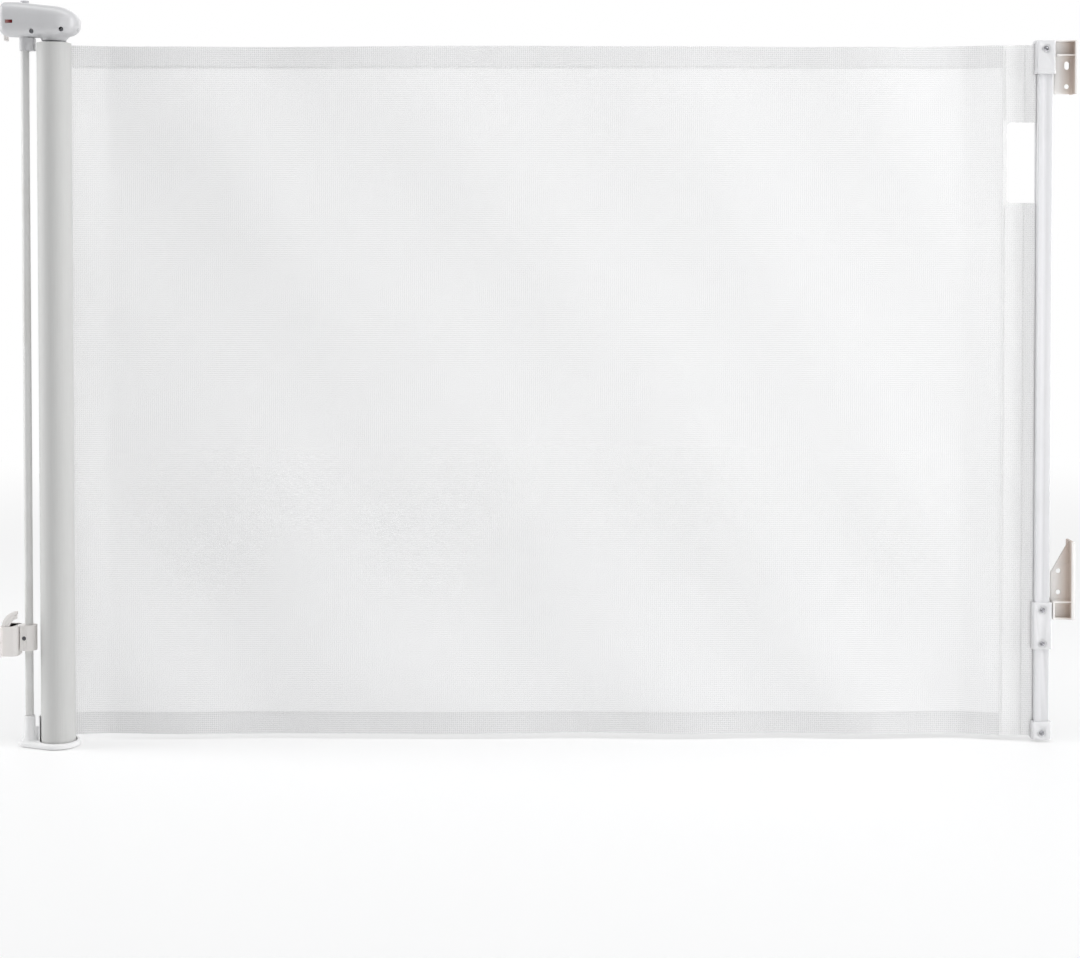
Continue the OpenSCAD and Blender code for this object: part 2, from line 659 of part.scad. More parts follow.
module strip_spline() color("gainsboro") translate([bar_x0 + bar_wall + spline_r + 0.6, panel_y, mesh_low + 10])
  cylinder(r = spline_r, h = mesh_h - 20);

// ---------- end bar ----------

// Section of the bar: a square channel for the strip's spline, open towards the cloth, and a hollow
module bar_section() difference() {
  web_x = -bar_w / 2 + 2 * bar_wall + 2 * spline_r + 1.2;
  rounded_rect(bar_w, bar_d, 1);
  translate([-bar_w / 2 + bar_wall, -spline_r - 0.6]) square(2 * spline_r + 1.2);
  translate([-bar_w / 2 - 1, -cloth_slot / 2]) square([bar_wall + 2, cloth_slot]);
  translate([web_x, -bar_d / 2 + bar_wall]) square([bar_w / 2 - bar_wall - web_x, bar_d - 2 * bar_wall]);
}

module end_bar() color("white") difference() {
  translate([bar_x, panel_y, bar_low]) linear_extrude(bar_top - bar_low) bar_section();
  for (z = bar_screw_zs) rod_y(bar_screw_r, bar_x, panel_y - bar_d / 2 - 1, panel_y - bar_d / 2 + 2, z);
}

// Moulded sleeve round the bar, with a slot for the cloth; top is how much of it closes over the bar's end.
module sleeve(z0, z1, close_low, close_top) {
  difference() {
    translate([bar_x, panel_y, z0]) linear_extrude(z1 - z0) rounded_rect(cap_x1 - cap_x0, cap_d, 2);
    block([bar_x0 - cap_fit, panel_y - bar_d / 2 - cap_fit, z0 + close_low - e],
      [bar_x1 + cap_fit, panel_y + bar_d / 2 + cap_fit, z1 - close_top + e]);
    block([cap_x0 - 1, panel_y - cloth_slot / 2, z0 - 1], [bar_x0 + 1, panel_y + cloth_slot / 2, z1 - close_top]);
  }
}

module hook(arm_z) {
  tongue_x = pocket_x0 + part_gap;
  block([cap_x1 - 1, hook_y0, arm_z], [tongue_x + hook_t, hook_y1, arm_z + arm_h]);
  block([tongue_x, hook_y0, arm_z - hook_drop], [tongue_x + hook_t, hook_y1, arm_z + arm_h]);
}

// Recess and thread hole of one of the bar's screws
module screw_seat(z) {
  rod_y(5.2, bar_x, panel_y - cap_d / 2 - 1, panel_y - cap_d / 2 + 0.5, z);
  rod_y(bar_screw_r, bar_x, panel_y - cap_d / 2 - 1, panel_y - bar_d / 2 + 1, z);
}

top_screw_z = bar_top - 7;
connector_screw_zs = [connector_z + 7.1, connector_z + connector_h - 9.2];
bottom_screw_z = bar_low + 5.5;
bar_screw_zs = concat([top_screw_z], connector_screw_zs, [bottom_screw_z]);
bottom_cap_z = bar_low - 2.3;

module top_cap() color("whitesmoke") {
  cap_top = bar_top + 3;
  difference() {
    union() {
      sleeve(cap_top - top_cap_h, cap_top, 0, 3);
      hook(upper_arm_z);
    }
    screw_seat(top_screw_z);
  }
  difference() {
    translate([bar_x, panel_y, cap_top - top_cap_h]) linear_extrude(5.4)
      rounded_rect(cap_x1 - cap_x0 + 2 * cap_rim, cap_d + 2 * cap_rim, 2.4);
    translate([bar_x, panel_y, cap_top - top_cap_h - 1]) linear_extrude(8)
      square([cap_x1 - cap_x0 - 1, cap_d - 1], center = true);
    block([cap_x0 - 2, panel_y - cloth_slot / 2, cap_top - top_cap_h - 1],
      [bar_x0, panel_y + cloth_slot / 2, cap_top]);
  }
  block([cap_x0 - 1.4, panel_y - 6, cap_top - 3.6], [cap_x0 + cap_wall - cap_fit, panel_y + 2, cap_top]);
}

module middle_connector() color("whitesmoke") difference() {
  union() {
    sleeve(connector_z, connector_z + connector_h, 0, 0);
    hook(lower_arm_z);
  }
  for (z = connector_screw_zs) screw_seat(z);
}

module bottom_cap() color("whitesmoke") difference() {
  sleeve(bottom_cap_z, bottom_cap_z + bottom_cap_h, 2.3, 0);
  screw_seat(bottom_screw_z);
}

module bar_screws() color("silver") for (z = bar_screw_zs)
  difference() {
    y = panel_y - cap_d / 2 + 0.5;
    union() {
      rod_y(bar_screw_r, bar_x, y - 1, panel_y - bar_d / 2 + 1, z);
      rod_y(bar_screw_head_r, bar_x, y - 1.6, y, z);
    }
    block([bar_x - 2, y - 2, z - 0.4], [bar_x + 2, y - 0.8, z + 0.4]);
    block([bar_x - 0.4, y - 2, z - 2], [bar_x + 0.4, y - 0.8, z + 2]);
  }

left_upper_wall_bracket();
left_lower_wall_bracket();
right_upper_wall_bracket();
right_lower_wall_bracket();
head_front_shell();
head_back_shell();
head_screws();
upper_rod_socket();
guide_rod();
base_foot();
foot_pad();
rod_clamp();
rod_clamp_screw();
spring_arbor();
stem_bush();
pawl_pin();
pawl();
lock_button();
button_spring();
lock_indicator();
roller_tube();
upper_hub();
lower_hub();
ratchet_wheel();
torsion_spring();
wound_mesh();
mesh_panel();
top_hem();
bottom_hem();
end_strip();
strip_spline();
end_bar();
top_cap();
middle_connector();
bottom_cap();
bar_screws();
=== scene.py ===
import json
import math

import bmesh
import bpy
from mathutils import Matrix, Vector, noise

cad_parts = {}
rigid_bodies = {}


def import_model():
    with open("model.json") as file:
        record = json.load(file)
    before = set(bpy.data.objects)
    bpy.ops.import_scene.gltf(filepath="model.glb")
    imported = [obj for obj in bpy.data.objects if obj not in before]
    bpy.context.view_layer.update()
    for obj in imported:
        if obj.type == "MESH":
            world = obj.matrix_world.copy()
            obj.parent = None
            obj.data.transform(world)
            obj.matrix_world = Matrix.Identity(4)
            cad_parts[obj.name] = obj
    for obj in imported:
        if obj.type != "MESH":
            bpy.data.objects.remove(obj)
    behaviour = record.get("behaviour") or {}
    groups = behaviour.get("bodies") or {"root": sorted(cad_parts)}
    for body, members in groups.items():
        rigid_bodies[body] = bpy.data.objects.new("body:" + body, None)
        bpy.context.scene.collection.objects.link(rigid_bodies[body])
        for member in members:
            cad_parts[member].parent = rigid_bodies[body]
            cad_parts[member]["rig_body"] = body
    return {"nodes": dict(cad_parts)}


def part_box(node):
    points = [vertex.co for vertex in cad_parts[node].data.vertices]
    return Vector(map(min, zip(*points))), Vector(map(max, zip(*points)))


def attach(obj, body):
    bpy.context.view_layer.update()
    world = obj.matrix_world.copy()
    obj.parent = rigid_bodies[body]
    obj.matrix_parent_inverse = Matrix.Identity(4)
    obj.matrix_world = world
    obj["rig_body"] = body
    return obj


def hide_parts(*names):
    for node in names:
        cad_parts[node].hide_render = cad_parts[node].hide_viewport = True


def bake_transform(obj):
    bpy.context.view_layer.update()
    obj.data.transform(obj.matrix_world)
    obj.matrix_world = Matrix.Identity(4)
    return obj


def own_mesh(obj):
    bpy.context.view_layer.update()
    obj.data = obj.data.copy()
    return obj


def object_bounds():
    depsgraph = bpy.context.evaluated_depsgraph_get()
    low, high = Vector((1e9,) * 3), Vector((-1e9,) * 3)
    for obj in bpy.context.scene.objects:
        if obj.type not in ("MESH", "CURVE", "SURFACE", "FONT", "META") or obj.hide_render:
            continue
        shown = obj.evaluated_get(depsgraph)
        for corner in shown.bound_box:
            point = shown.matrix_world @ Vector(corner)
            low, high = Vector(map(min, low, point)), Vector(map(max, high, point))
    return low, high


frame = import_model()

nodes = frame["nodes"]
scene = bpy.context.scene
cad_low, cad_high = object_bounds()


# ---- Camera ----
# It stands square in front of the gate, above the middle of the mesh, and looks slightly down.
mesh_low, mesh_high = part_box("mesh_panel")
mesh_y = (mesh_low.y + mesh_high.y) / 2
roll_low, roll_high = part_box("wound_mesh")
roll_x = (roll_low.x + roll_high.x) / 2
roll_y = (roll_low.y + roll_high.y) / 2
eye_x = 0.001
eye_distance = 2.3
eye_height = 0.625
eye_pitch = math.radians(1.48)

camera_data = bpy.data.cameras.new("camera")
camera_data.sensor_width = 36
camera_data.lens = 62.1
camera_data.shift_y = -0.1795
camera = bpy.data.objects.new("camera", camera_data)
camera.location = (eye_x, mesh_y - eye_distance, eye_height)
camera.rotation_euler = (math.pi / 2 - eye_pitch, 0, 0)
scene.collection.objects.link(camera)
scene.camera = camera
scene.view_settings.view_transform = "Standard"


# ---- Floor and studio light ----
# A pale floor that fades into the white of the studio, and soft boxes on both sides, in front, above and
# behind. The floor and the studio look whiter to the camera than the light they give, so that the gate keeps
# its shading.
def principled(name):
    """A new material and its Principled BSDF."""
    material = bpy.data.materials.new(name)
    material.use_nodes = True
    return material, material.node_tree.nodes["Principled BSDF"]


def add_node(tree, kind, **settings):
    """A node of that kind with its settings, some of which are values of its inputs."""
    node = tree.nodes.new(kind)
    for key, value in settings.items():
        if key in node.inputs:
            node.inputs[key].default_value = value
        else:
            setattr(node, key, value)
    return node


floor_near = 0.9
floor_far = 3.3
floor_gap = 0.0002
bpy.ops.object.select_all(action="DESELECT")
bpy.ops.mesh.primitive_plane_add(size=16, location=(0, 0, cad_low.z - floor_gap))
floor = bpy.context.object
floor.name = "floor"
floor_paint, floor_shader = principled("floor_paint")
floor_shader.inputs["Base Color"].default_value = (0.9, 0.9, 0.9, 1)
floor_shader.inputs["Roughness"].default_value = 0.6
floor_shader.inputs["Emission Color"].default_value = (1, 1, 1, 1)
tree = floor_paint.node_tree
link = tree.links.new
place = tree.nodes.new("ShaderNodeTexCoord")
reach = add_node(tree, "ShaderNodeVectorMath", operation="LENGTH")
fade = add_node(tree, "ShaderNodeMapRange", interpolation_type="SMOOTHSTEP",
                **{"From Min": floor_near, "From Max": floor_far, "To Min": 0.42})
glow = tree.nodes.new("ShaderNodeEmission")
mix = tree.nodes.new("ShaderNodeMixShader")
link(place.outputs["Object"], reach.inputs[0])
link(reach.outputs["Value"], fade.inputs["Value"])
ray = tree.nodes.new("ShaderNodeLightPath")
ray_share = add_node(tree, "ShaderNodeMapRange", **{"To Min": 0.2, "To Max": 1.0})
whiten = add_node(tree, "ShaderNodeMath", operation="MULTIPLY")
link(ray.outputs["Is Camera Ray"], ray_share.inputs["Value"])
link(fade.outputs["Result"], whiten.inputs[0])
link(ray_share.outputs["Result"], whiten.inputs[1])
link(whiten.outputs["Value"], mix.inputs["Fac"])
link(floor_shader.outputs["BSDF"], mix.inputs[1])
link(glow.outputs["Emission"], mix.inputs[2])
link(mix.outputs["Shader"], tree.nodes["Material Output"].inputs["Surface"])
floor.data.materials.append(floor_paint)

studio = bpy.data.worlds.new("studio")
studio.use_nodes = True
scene.world = studio
tree = studio.node_tree
link = tree.links.new
seen = add_node(tree, "ShaderNodeBackground", Color=(1, 1, 1, 1), Strength=1.0)
lit = add_node(tree, "ShaderNodeBackground", Color=(0.97, 0.98, 1, 1), Strength=0.31)
ray = tree.nodes.new("ShaderNodeLightPath")
mix = tree.nodes.new("ShaderNodeMixShader")
link(ray.outputs["Is Camera Ray"], mix.inputs["Fac"])
link(lit.outputs["Background"], mix.inputs[1])
link(seen.outputs["Background"], mix.inputs[2])
link(mix.outputs["Shader"], tree.nodes["World Output"].inputs["Surface"])


def soft_box(name, place, aim, width, height, watts):
    light = bpy.data.lights.new(name, "AREA")
    light.shape = "RECTANGLE"
    light.size = width
    light.size_y = height
    light.energy = watts
    box = bpy.data.objects.new(name, light)
    box.location = place
    box.rotation_euler = (Vector(aim) - Vector(place)).to_track_quat("-Z", "Y").to_euler()
    box.visible_camera = False
    scene.collection.objects.link(box)


soft_box("left_box", (-2.2, 0, 0.9), (-0.6, 0, 0.5), 0.7, 2.0, 24)
soft_box("right_box", (2.3, -0.5, 0.9), (-0.4, 0, 0.6), 0.7, 2.0, 37)
soft_box("front_box", (0.8, -2.8, 0.5), (0.3, 0, 0.4), 1.6, 1.2, 16)
soft_box("top_box", (-0.2, -0.5, 2.7), (-0.1, 0, 0.4), 2.6, 1.2, 29)
soft_box("back_box", (0, 2.4, 1.5), (0, 0, 0.5), 3.0, 2.0, 22)


# ---- Wall brackets ----
# Four moulded nylon brackets, warm white, screwed to the walls. The right pair are angle plates with a
# pocket behind each for the bar's hooks, and the left pair carry the roller unit.
def effect(name, inputs, outputs):
    """A shader node group with those inputs (name: default) and outputs (name: kind)."""
    group = bpy.data.node_groups.new(name, "ShaderNodeTree")
    for label, value in inputs.items():
        kind = "NodeSocketFloat" if isinstance(value, float) else "NodeSocketColor"
        kind = "NodeSocketVector" if value is None else kind
        socket = group.interface.new_socket(label, in_out="INPUT", socket_type=kind)
        if value is not None:
            socket.default_value = value
    for label, kind in outputs.items():
        group.interface.new_socket(label, in_out="OUTPUT", socket_type="NodeSocket" + kind)
    return group, group.nodes.new("NodeGroupInput"), group.nodes.new("NodeGroupOutput")


def moulded_surface():
    """Fine texture of a spark-eroded mould, with faint flow marks in its colour and its gloss."""
    group, given, result = effect(
        "moulded_surface",
        {"Color": (0.8, 0.8, 0.8, 1), "Flow Color": (0.7, 0.7, 0.7, 1), "Grain Scale": 1500.0,
         "Roughness": 0.4},
        {"Color": "Color", "Roughness": "Float", "Height": "Float"},
    )
    link = group.links.new
    place = group.nodes.new("ShaderNodeTexCoord")
    grain = add_node(group, "ShaderNodeTexNoise", Detail=2.0)
    link(place.outputs["Object"], grain.inputs["Vector"])
    link(given.outputs["Grain Scale"], grain.inputs["Scale"])
    stretch = add_node(group, "ShaderNodeMapping", Scale=(1, 1, 0.35))
    link(place.outputs["Object"], stretch.inputs["Vector"])
    flow = add_node(group, "ShaderNodeTexNoise", Scale=34.0, Detail=4.0, Distortion=0.6)
    link(stretch.outputs["Vector"], flow.inputs["Vector"])
    soft = add_node(group, "ShaderNodeMapRange", **{"From Min": 0.35, "From Max": 0.75, "To Max": 0.5})
    link(flow.outputs["Fac"], soft.inputs["Value"])
    tint = add_node(group, "ShaderNodeMix", data_type="RGBA")
    link(soft.outputs["Result"], tint.inputs["Factor"])
    link(given.outputs["Color"], tint.inputs["A"])
    link(given.outputs["Flow Color"], tint.inputs["B"])
    link(tint.outputs["Result"], result.inputs["Color"])
    rough = add_node(group, "ShaderNodeMath", operation="MULTIPLY_ADD")
    link(flow.outputs["Fac"], rough.inputs[0])
    rough.inputs[1].default_value = 0.12
    link(given.outputs["Roughness"], rough.inputs[2])
    link(rough.outputs["Value"], result.inputs["Roughness"])
    link(grain.outputs["Fac"], result.inputs["Height"])
    return group


moulding = moulded_surface()


def plastic(name, color, flow_color, roughness, grain=1500.0, depth=0.00004, painted_light=None):
    """A moulded plastic with its own colours, gloss and grain. The optional tone is painted light or shade:
    another colour that it turns to, and for X and for Y where that starts and where it is full."""
    material, shader = principled(name)
    tree = material.node_tree
    link = tree.links.new
    surface = add_node(tree, "ShaderNodeGroup", node_tree=moulding)
    surface.inputs["Color"].default_value = (*color, 1)
    surface.inputs["Flow Color"].default_value = (*flow_color, 1)
    surface.inputs["Grain Scale"].default_value = grain
    surface.inputs["Roughness"].default_value = roughness
    bump = add_node(tree, "ShaderNodeBump", Strength=0.35, Distance=depth)
    shade = surface.outputs["Color"]
    # Painted light or shade: the colour turns to the tone across the given stretches of X and Y.
    if painted_light:
        painted_tone, *limits = painted_light
        place = tree.nodes.new("ShaderNodeTexCoord")
        split = tree.nodes.new("ShaderNodeSeparateXYZ")
        both = add_node(tree, "ShaderNodeMath", operation="MULTIPLY")
        tint = add_node(tree, "ShaderNodeMix", data_type="RGBA")
        tint.inputs["B"].default_value = (*painted_tone, 1)
        link(place.outputs["Object"], split.inputs["Vector"])
        for index, (start, full) in enumerate(limits):
            share = add_node(tree, "ShaderNodeMapRange", **{"From Min": start, "From Max": full})
            link(split.outputs["XY"[index]], share.inputs["Value"])
            link(share.outputs["Result"], both.inputs[index])
        link(both.outputs["Value"], tint.inputs["Factor"])
        link(shade, tint.inputs["A"])
        shade = tint.outputs["Result"]
    link(shade, shader.inputs["Base Color"])
    link(surface.outputs["Roughness"], shader.inputs["Roughness"])
    link(surface.outputs["Height"], bump.inputs["Height"])
    link(bump.outputs["Normal"], shader.inputs["Normal"])
    shader.inputs["IOR"].default_value = 1.47
    return material


def pick(piece):
    """Selects only that piece and makes it the active one."""
    bpy.ops.object.select_all(action="DESELECT")
    piece.select_set(True)
    bpy.context.view_layer.objects.active = piece
    return piece


def apply_modifiers(piece):
    pick(piece)
    for modifier in list(piece.modifiers):
        bpy.ops.object.modifier_apply(modifier=modifier.name)


def ease_edges(piece, width, segments=2, angle=32):
    """Rounds the sharp edges by that width, as a mould or a file does, but not those at a needle point."""
    needle_angle = math.radians(38)
    form = bmesh.new()
    form.from_mesh(piece.data)
    weight = form.edges.layers.float.new("bevel_weight_edge")
    sharp = {edge for edge in form.edges
             if len(edge.link_faces) == 2 and edge.calc_face_angle() > math.radians(angle)}
    needles = {corner.vert for face in form.faces for corner in face.loops
               if corner.edge in sharp and corner.link_loop_prev.edge in sharp
               and corner.calc_angle() < needle_angle}
    for edge in sharp:
        edge[weight] = 0.0 if needles.intersection(edge.verts) else 1.0
    form.to_mesh(piece.data)
    form.free()
    bevel = piece.modifiers.new("eased_edges", "BEVEL")
    bevel.width = width
    bevel.segments = segments
    bevel.limit_method = "WEIGHT"
    bevel.use_clamp_overlap = False
    apply_modifiers(piece)
    bpy.ops.object.shade_smooth_by_angle(angle=math.radians(angle))


def dress(piece, material):
    """Gives the piece that material alone."""
    piece.data.materials.clear()
    piece.data.materials.append(material)


def finished(node, name, material, edge=0.0, segments=2):
    """The finished form of a designed piece: its faces made whole again and its edges eased."""
    piece = bpy.data.objects.new(name, nodes[node].data.copy())
    scene.collection.objects.link(piece)
    pick(piece)
    bpy.ops.object.mode_set(mode="EDIT")
    bpy.ops.mesh.select_all(action="SELECT")
    bpy.ops.mesh.remove_doubles(threshold=0.00001)
    bpy.ops.mesh.dissolve_limited(angle_limit=math.radians(0.5))
    bpy.ops.object.mode_set(mode="OBJECT")
    if edge:
        ease_edges(piece, edge, segments)
    else:
        bpy.ops.object.shade_smooth_by_angle(angle=math.radians(32))
    dress(piece, material)
    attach(piece, nodes[node]["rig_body"])
    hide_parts(node)
    return piece


def cut(piece, tool, operation="DIFFERENCE"):
    """Cuts the tool out of the piece, or with another operation joins or trims it, and removes the tool."""
    boolean = piece.modifiers.new("cut", "BOOLEAN")
    boolean.operation = operation
    boolean.object = tool
    boolean.solver = "MANIFOLD"
    apply_modifiers(piece)
    bpy.data.objects.remove(tool)


def join_to(piece, other):
    """Makes the other object a part of this one."""
    pick(piece)
    other.select_set(True)
    bpy.ops.object.join()


def flip_outwards(piece):
    """Turns the faces of a closed form or a sheet to the outside."""
    pick(piece)
    bpy.ops.object.mode_set(mode="EDIT")
    bpy.ops.mesh.select_all(action="SELECT")
    bpy.ops.mesh.normals_make_consistent(inside=False)
    bpy.ops.object.mode_set(mode="OBJECT")


def round_tool(radius, low, high, axis="Z", sides=48):
    """A cylinder from low to high along an axis, to cut a hole with or to build on."""
    low, high = Vector(low), Vector(high)
    turn = {"Z": (0, 0, 0), "Y": (math.pi / 2, 0, 0), "X": (0, math.pi / 2, 0)}[axis]
    bpy.ops.object.select_all(action="DESELECT")
    bpy.ops.mesh.primitive_cylinder_add(vertices=sides, radius=radius, depth=(high - low).length,
                                        location=(low + high) / 2, rotation=turn)
    bpy.ops.object.transform_apply()
    return bpy.context.object


def square_tool(low, high, corner=0.0):
    """A box from low to high, its edges rounded by corner, to cut an opening with or to trim by."""
    low, high = Vector(low), Vector(high)
    bpy.ops.object.select_all(action="DESELECT")
    bpy.ops.mesh.primitive_cube_add(size=1, location=(low + high) / 2, scale=high - low)
    bpy.ops.object.transform_apply()
    tool = bpy.context.object
    if corner:
        bevel = tool.modifiers.new("corners", "BEVEL")
        bevel.width = corner
        bevel.segments = 5
        apply_modifiers(tool)
    return tool


past = 0.01  # How far a cutting tool reaches past what it cuts.
bracket_low, bracket_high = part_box("right_upper_wall_bracket")
bracket_ivory = plastic("bracket_ivory", (0.80, 0.775, 0.755), (0.74, 0.71, 0.68), 0.42, 1300.0, 0.00005)
# The right pair's colour turns tan towards the wall plate and back from the front edges: painted shade in the
# recess, where the side plate shades the back plate.
bracket_recess_shaded = plastic("bracket_recess_shaded", (0.88, 0.86, 0.84), (0.82, 0.79, 0.76), 0.42, 1300.0, 0.00005,
                           ((0.56, 0.47, 0.41), (bracket_low.x + 0.005, bracket_high.x - 0.006),
                            (bracket_low.y + 0.001, bracket_low.y + 0.006)))
for side, nylon in (("left", bracket_ivory), ("right", bracket_recess_shaded)):
    for level in ("upper", "lower"):
        bracket = finished(f"{side}_{level}_wall_bracket", f"{side}_{level}_bracket_moulding", nylon,
                           0.0006)
        if (side, level) == ("left", "lower"):
            cup_bracket = bracket

# The guard finger over the cup is backed by a web, which is moulded in one with it.
_, finger_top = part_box("left_lower_wall_bracket")
finger_outer = 0.020
web_outer = 0.0163
web_inner = 0.0105
web_reach = 0.03
tip_inset = 0.0015
finger_x, finger_z = finger_top.x, finger_top.z - finger_outer
web_front, web_back = roll_y - 0.0123, roll_y - 0.0072
web = round_tool(web_outer, (finger_x, web_front, finger_z), (finger_x, web_back, finger_z), "Y", 64)
cut(web, round_tool(web_inner, (finger_x, web_front - past, finger_z),
                    (finger_x, web_back + past, finger_z), "Y", 64))
cut(web, square_tool((finger_x - web_reach, web_front - past, finger_z - 0.001),
                     (finger_x - tip_inset, web_back + past, finger_z + web_reach)), "INTERSECT")
dress(web, bracket_ivory)
ease_edges(web, 0.0005)
join_to(cup_bracket, web)


# ---- Head ----
# Two moulded shells that close over the lock and the roller's top bearing, on a flared neck.
# They part along the roller's axis, and the front one has the lock's window and two screw recesses.
shell_low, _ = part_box("head_front_shell")
_, shell_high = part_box("head_back_shell")
rod_low, rod_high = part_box("guide_rod")
rod_x = (rod_low.x + rod_high.x) / 2
_, collar_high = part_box("upper_hub")
sign_low, sign_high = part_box("lock_indicator")
neck_low_z = shell_low.z

head_x0 = shell_low.x
head_length = shell_high.x - shell_low.x
head_high_z = shell_high.z
head_height = 0.0425
head_low_z = head_high_z - head_height
head_wall = 0.0022
wall_corner = 0.011
nose_length = 0.028
roller_bore = 0.0113
button_bore = 0.0054
socket_bore = 0.0069
recess_radius = 0.0028
shell_grey = plastic("head_shell_grey", (0.59, 0.59, 0.60), (0.53, 0.53, 0.54), 0.24, 1700.0, 0.00003)


def rounded_end(share, power):
    """Height of an end's curve, from 0 at its tip to 1 where it is full."""
    return 1 if share >= 1 else (1 - (1 - max(share, 0)) ** power) ** (1 / power)


def head_outline(along):
    """Half depth, top and underside of the head at that distance from its wall end."""
    left = head_length - along
    depth = 0.020 + 0.006 * min(1, along / (0.65 * head_length))
    depth *= min(rounded_end((along + 0.0006) / 0.013, 2.2), rounded_end((left + 0.0002) / 0.030, 2.3))
    middle = (0.49 - 0.09 * along / head_length) * head_height
    top = head_height - max(0, along - 0.25 * head_length) * 0.11
    low = 0.0018 * max(0, 1 - along / (0.5 * head_length)) ** 2
    wall_end = rounded_end((along + 0.0003) / wall_corner, 2)
    rise = min(wall_end, rounded_end((left + 0.0002) / nose_length, 2.15))
    drop = min(wall_end, rounded_end((left + 0.0002) / nose_length, 2.35))
    return depth, middle + rise * (top - middle), middle + drop * (low - middle)


def squircle(value):
    """Sine or cosine of a circle's angle, turned into that of a rounded square."""
    squareness = 3.1
    return math.copysign(abs(value) ** (2 / squareness), value)


def turned(name, profile, x, low_z, steps):
    """A solid turned about an upright line at x, from its profile's radii and heights over low_z."""
    data = bpy.data.meshes.new(name)
    data.from_pydata([(x + radius, roll_y, low_z + height) for radius, height in profile],
                     [(i, i + 1) for i in range(len(profile) - 1)], [])
    piece = bpy.data.objects.new(name, data)
    scene.collection.objects.link(piece)
    pick(piece)
    bpy.ops.object.mode_set(mode="EDIT")
    bpy.ops.mesh.select_all(action="SELECT")
    bpy.ops.mesh.spin(steps=steps, angle=2 * math.pi, center=(x, roll_y, 0), axis=(0, 0, 1))
    bpy.ops.mesh.select_all(action="SELECT")
    bpy.ops.mesh.remove_doubles(threshold=0.00002)
    bpy.ops.mesh.normals_make_consistent(inside=False)
    bpy.ops.object.mode_set(mode="OBJECT")
    return piece


def thicken(piece, thick, offset=0):
    """Gives a sheet its thickness: half on each side, or inwards with offset -1."""
    walls = piece.modifiers.new("thickness", "SOLIDIFY")
    walls.thickness = thick
    walls.offset = offset
    apply_modifiers(piece)


bpy.ops.object.select_all(action="DESELECT")
bpy.ops.mesh.primitive_uv_sphere_add(segments=64, ring_count=44, radius=1)
head_body = bpy.context.object
for vertex in head_body.data.vertices:
    ball = vertex.co.copy()
    along = head_length * (1 + ball.z) / 2
    depth, top, low = head_outline(along)
    ring = math.hypot(ball.x, ball.y) or 1
    across = squircle(ball.x / ring) * depth if ring > 0.001 else 0
    up = squircle(ball.y / ring) if ring > 0.001 else 0
    vertex.co = (head_x0 + along, roll_y + across, head_low_z + (top + low) / 2 + up * (top - low) / 2)

# The neck flares up into the body, as a funnel turned about the roller's axis.
neck_profile = [(0.0, 0.0), (0.0142, 0.0), (0.0146, 0.0008), (0.0152, 0.0024), (0.0166, 0.0044),
                (0.0192, 0.0064), (0.0215, 0.0078), (0.0215, 0.018), (0.0, 0.018)]
head_neck = turned("head_neck", neck_profile, roll_x, neck_low_z, 64)
flip_outwards(head_body)
cut(head_body, head_neck, "UNION")
remesh = head_body.modifiers.new("skin", "REMESH")
remesh.mode = "VOXEL"
remesh.voxel_size = 0.0007
smooth = head_body.modifiers.new("polish", "SMOOTH")
smooth.factor = 0.5
smooth.iterations = 9
apply_modifiers(head_body)
thicken(head_body, head_wall, -1)
cut(head_body, round_tool(roller_bore, (roll_x, roll_y, neck_low_z - 0.005),
                          (roll_x, roll_y, collar_high.z - 0.018)))
cut(head_body, round_tool(button_bore, (rod_x, roll_y, head_high_z - 0.02),
                          (rod_x, roll_y, head_high_z + past)))
cut(head_body, round_tool(socket_bore, (rod_x, roll_y, head_low_z - past),
                          (rod_x, roll_y, head_low_z + 0.012)))

head_screw_low, head_screw_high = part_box("head_screws")
screw_radius = 0.0025
screw_places = [(head_screw_low.x + screw_radius, head_screw_low.z + screw_radius),
                (head_screw_high.x - screw_radius, head_screw_high.z - screw_radius)]
for name, way in (("head_front_casing", -1), ("head_back_casing", 1)):
    half = bpy.data.objects.new(name, head_body.data.copy())
    scene.collection.objects.link(half)
    far_y = roll_y + way * 0.05
    cut(half, square_tool((head_x0 - 0.02, min(roll_y, far_y), neck_low_z - 0.02),
                          (head_x0 + 0.13, max(roll_y, far_y), head_high_z + 0.02)), "INTERSECT")
    if way < 0:
        window_x0 = sign_low.x + 0.0014
        window_x1 = sign_high.x - 0.001
        cut(half, square_tool((window_x0, roll_y - 0.03, sign_low.z + 0.001),
                              (window_x1, roll_y - 0.012, sign_high.z - 0.001), 0.0007))
        for x, z in screw_places:
            cut(half, round_tool(recess_radius, (x, roll_y - 0.04, z), (x, head_screw_low.y + 0.002, z),
                                 "Y", 32))
    pick(half)
    bpy.ops.object.shade_smooth_by_angle(angle=math.radians(38))
    dress(half, shell_grey)
    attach(half, "roller_unit")
    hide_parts("head_front_shell" if way < 0 else "head_back_shell")
bpy.data.objects.remove(head_body)


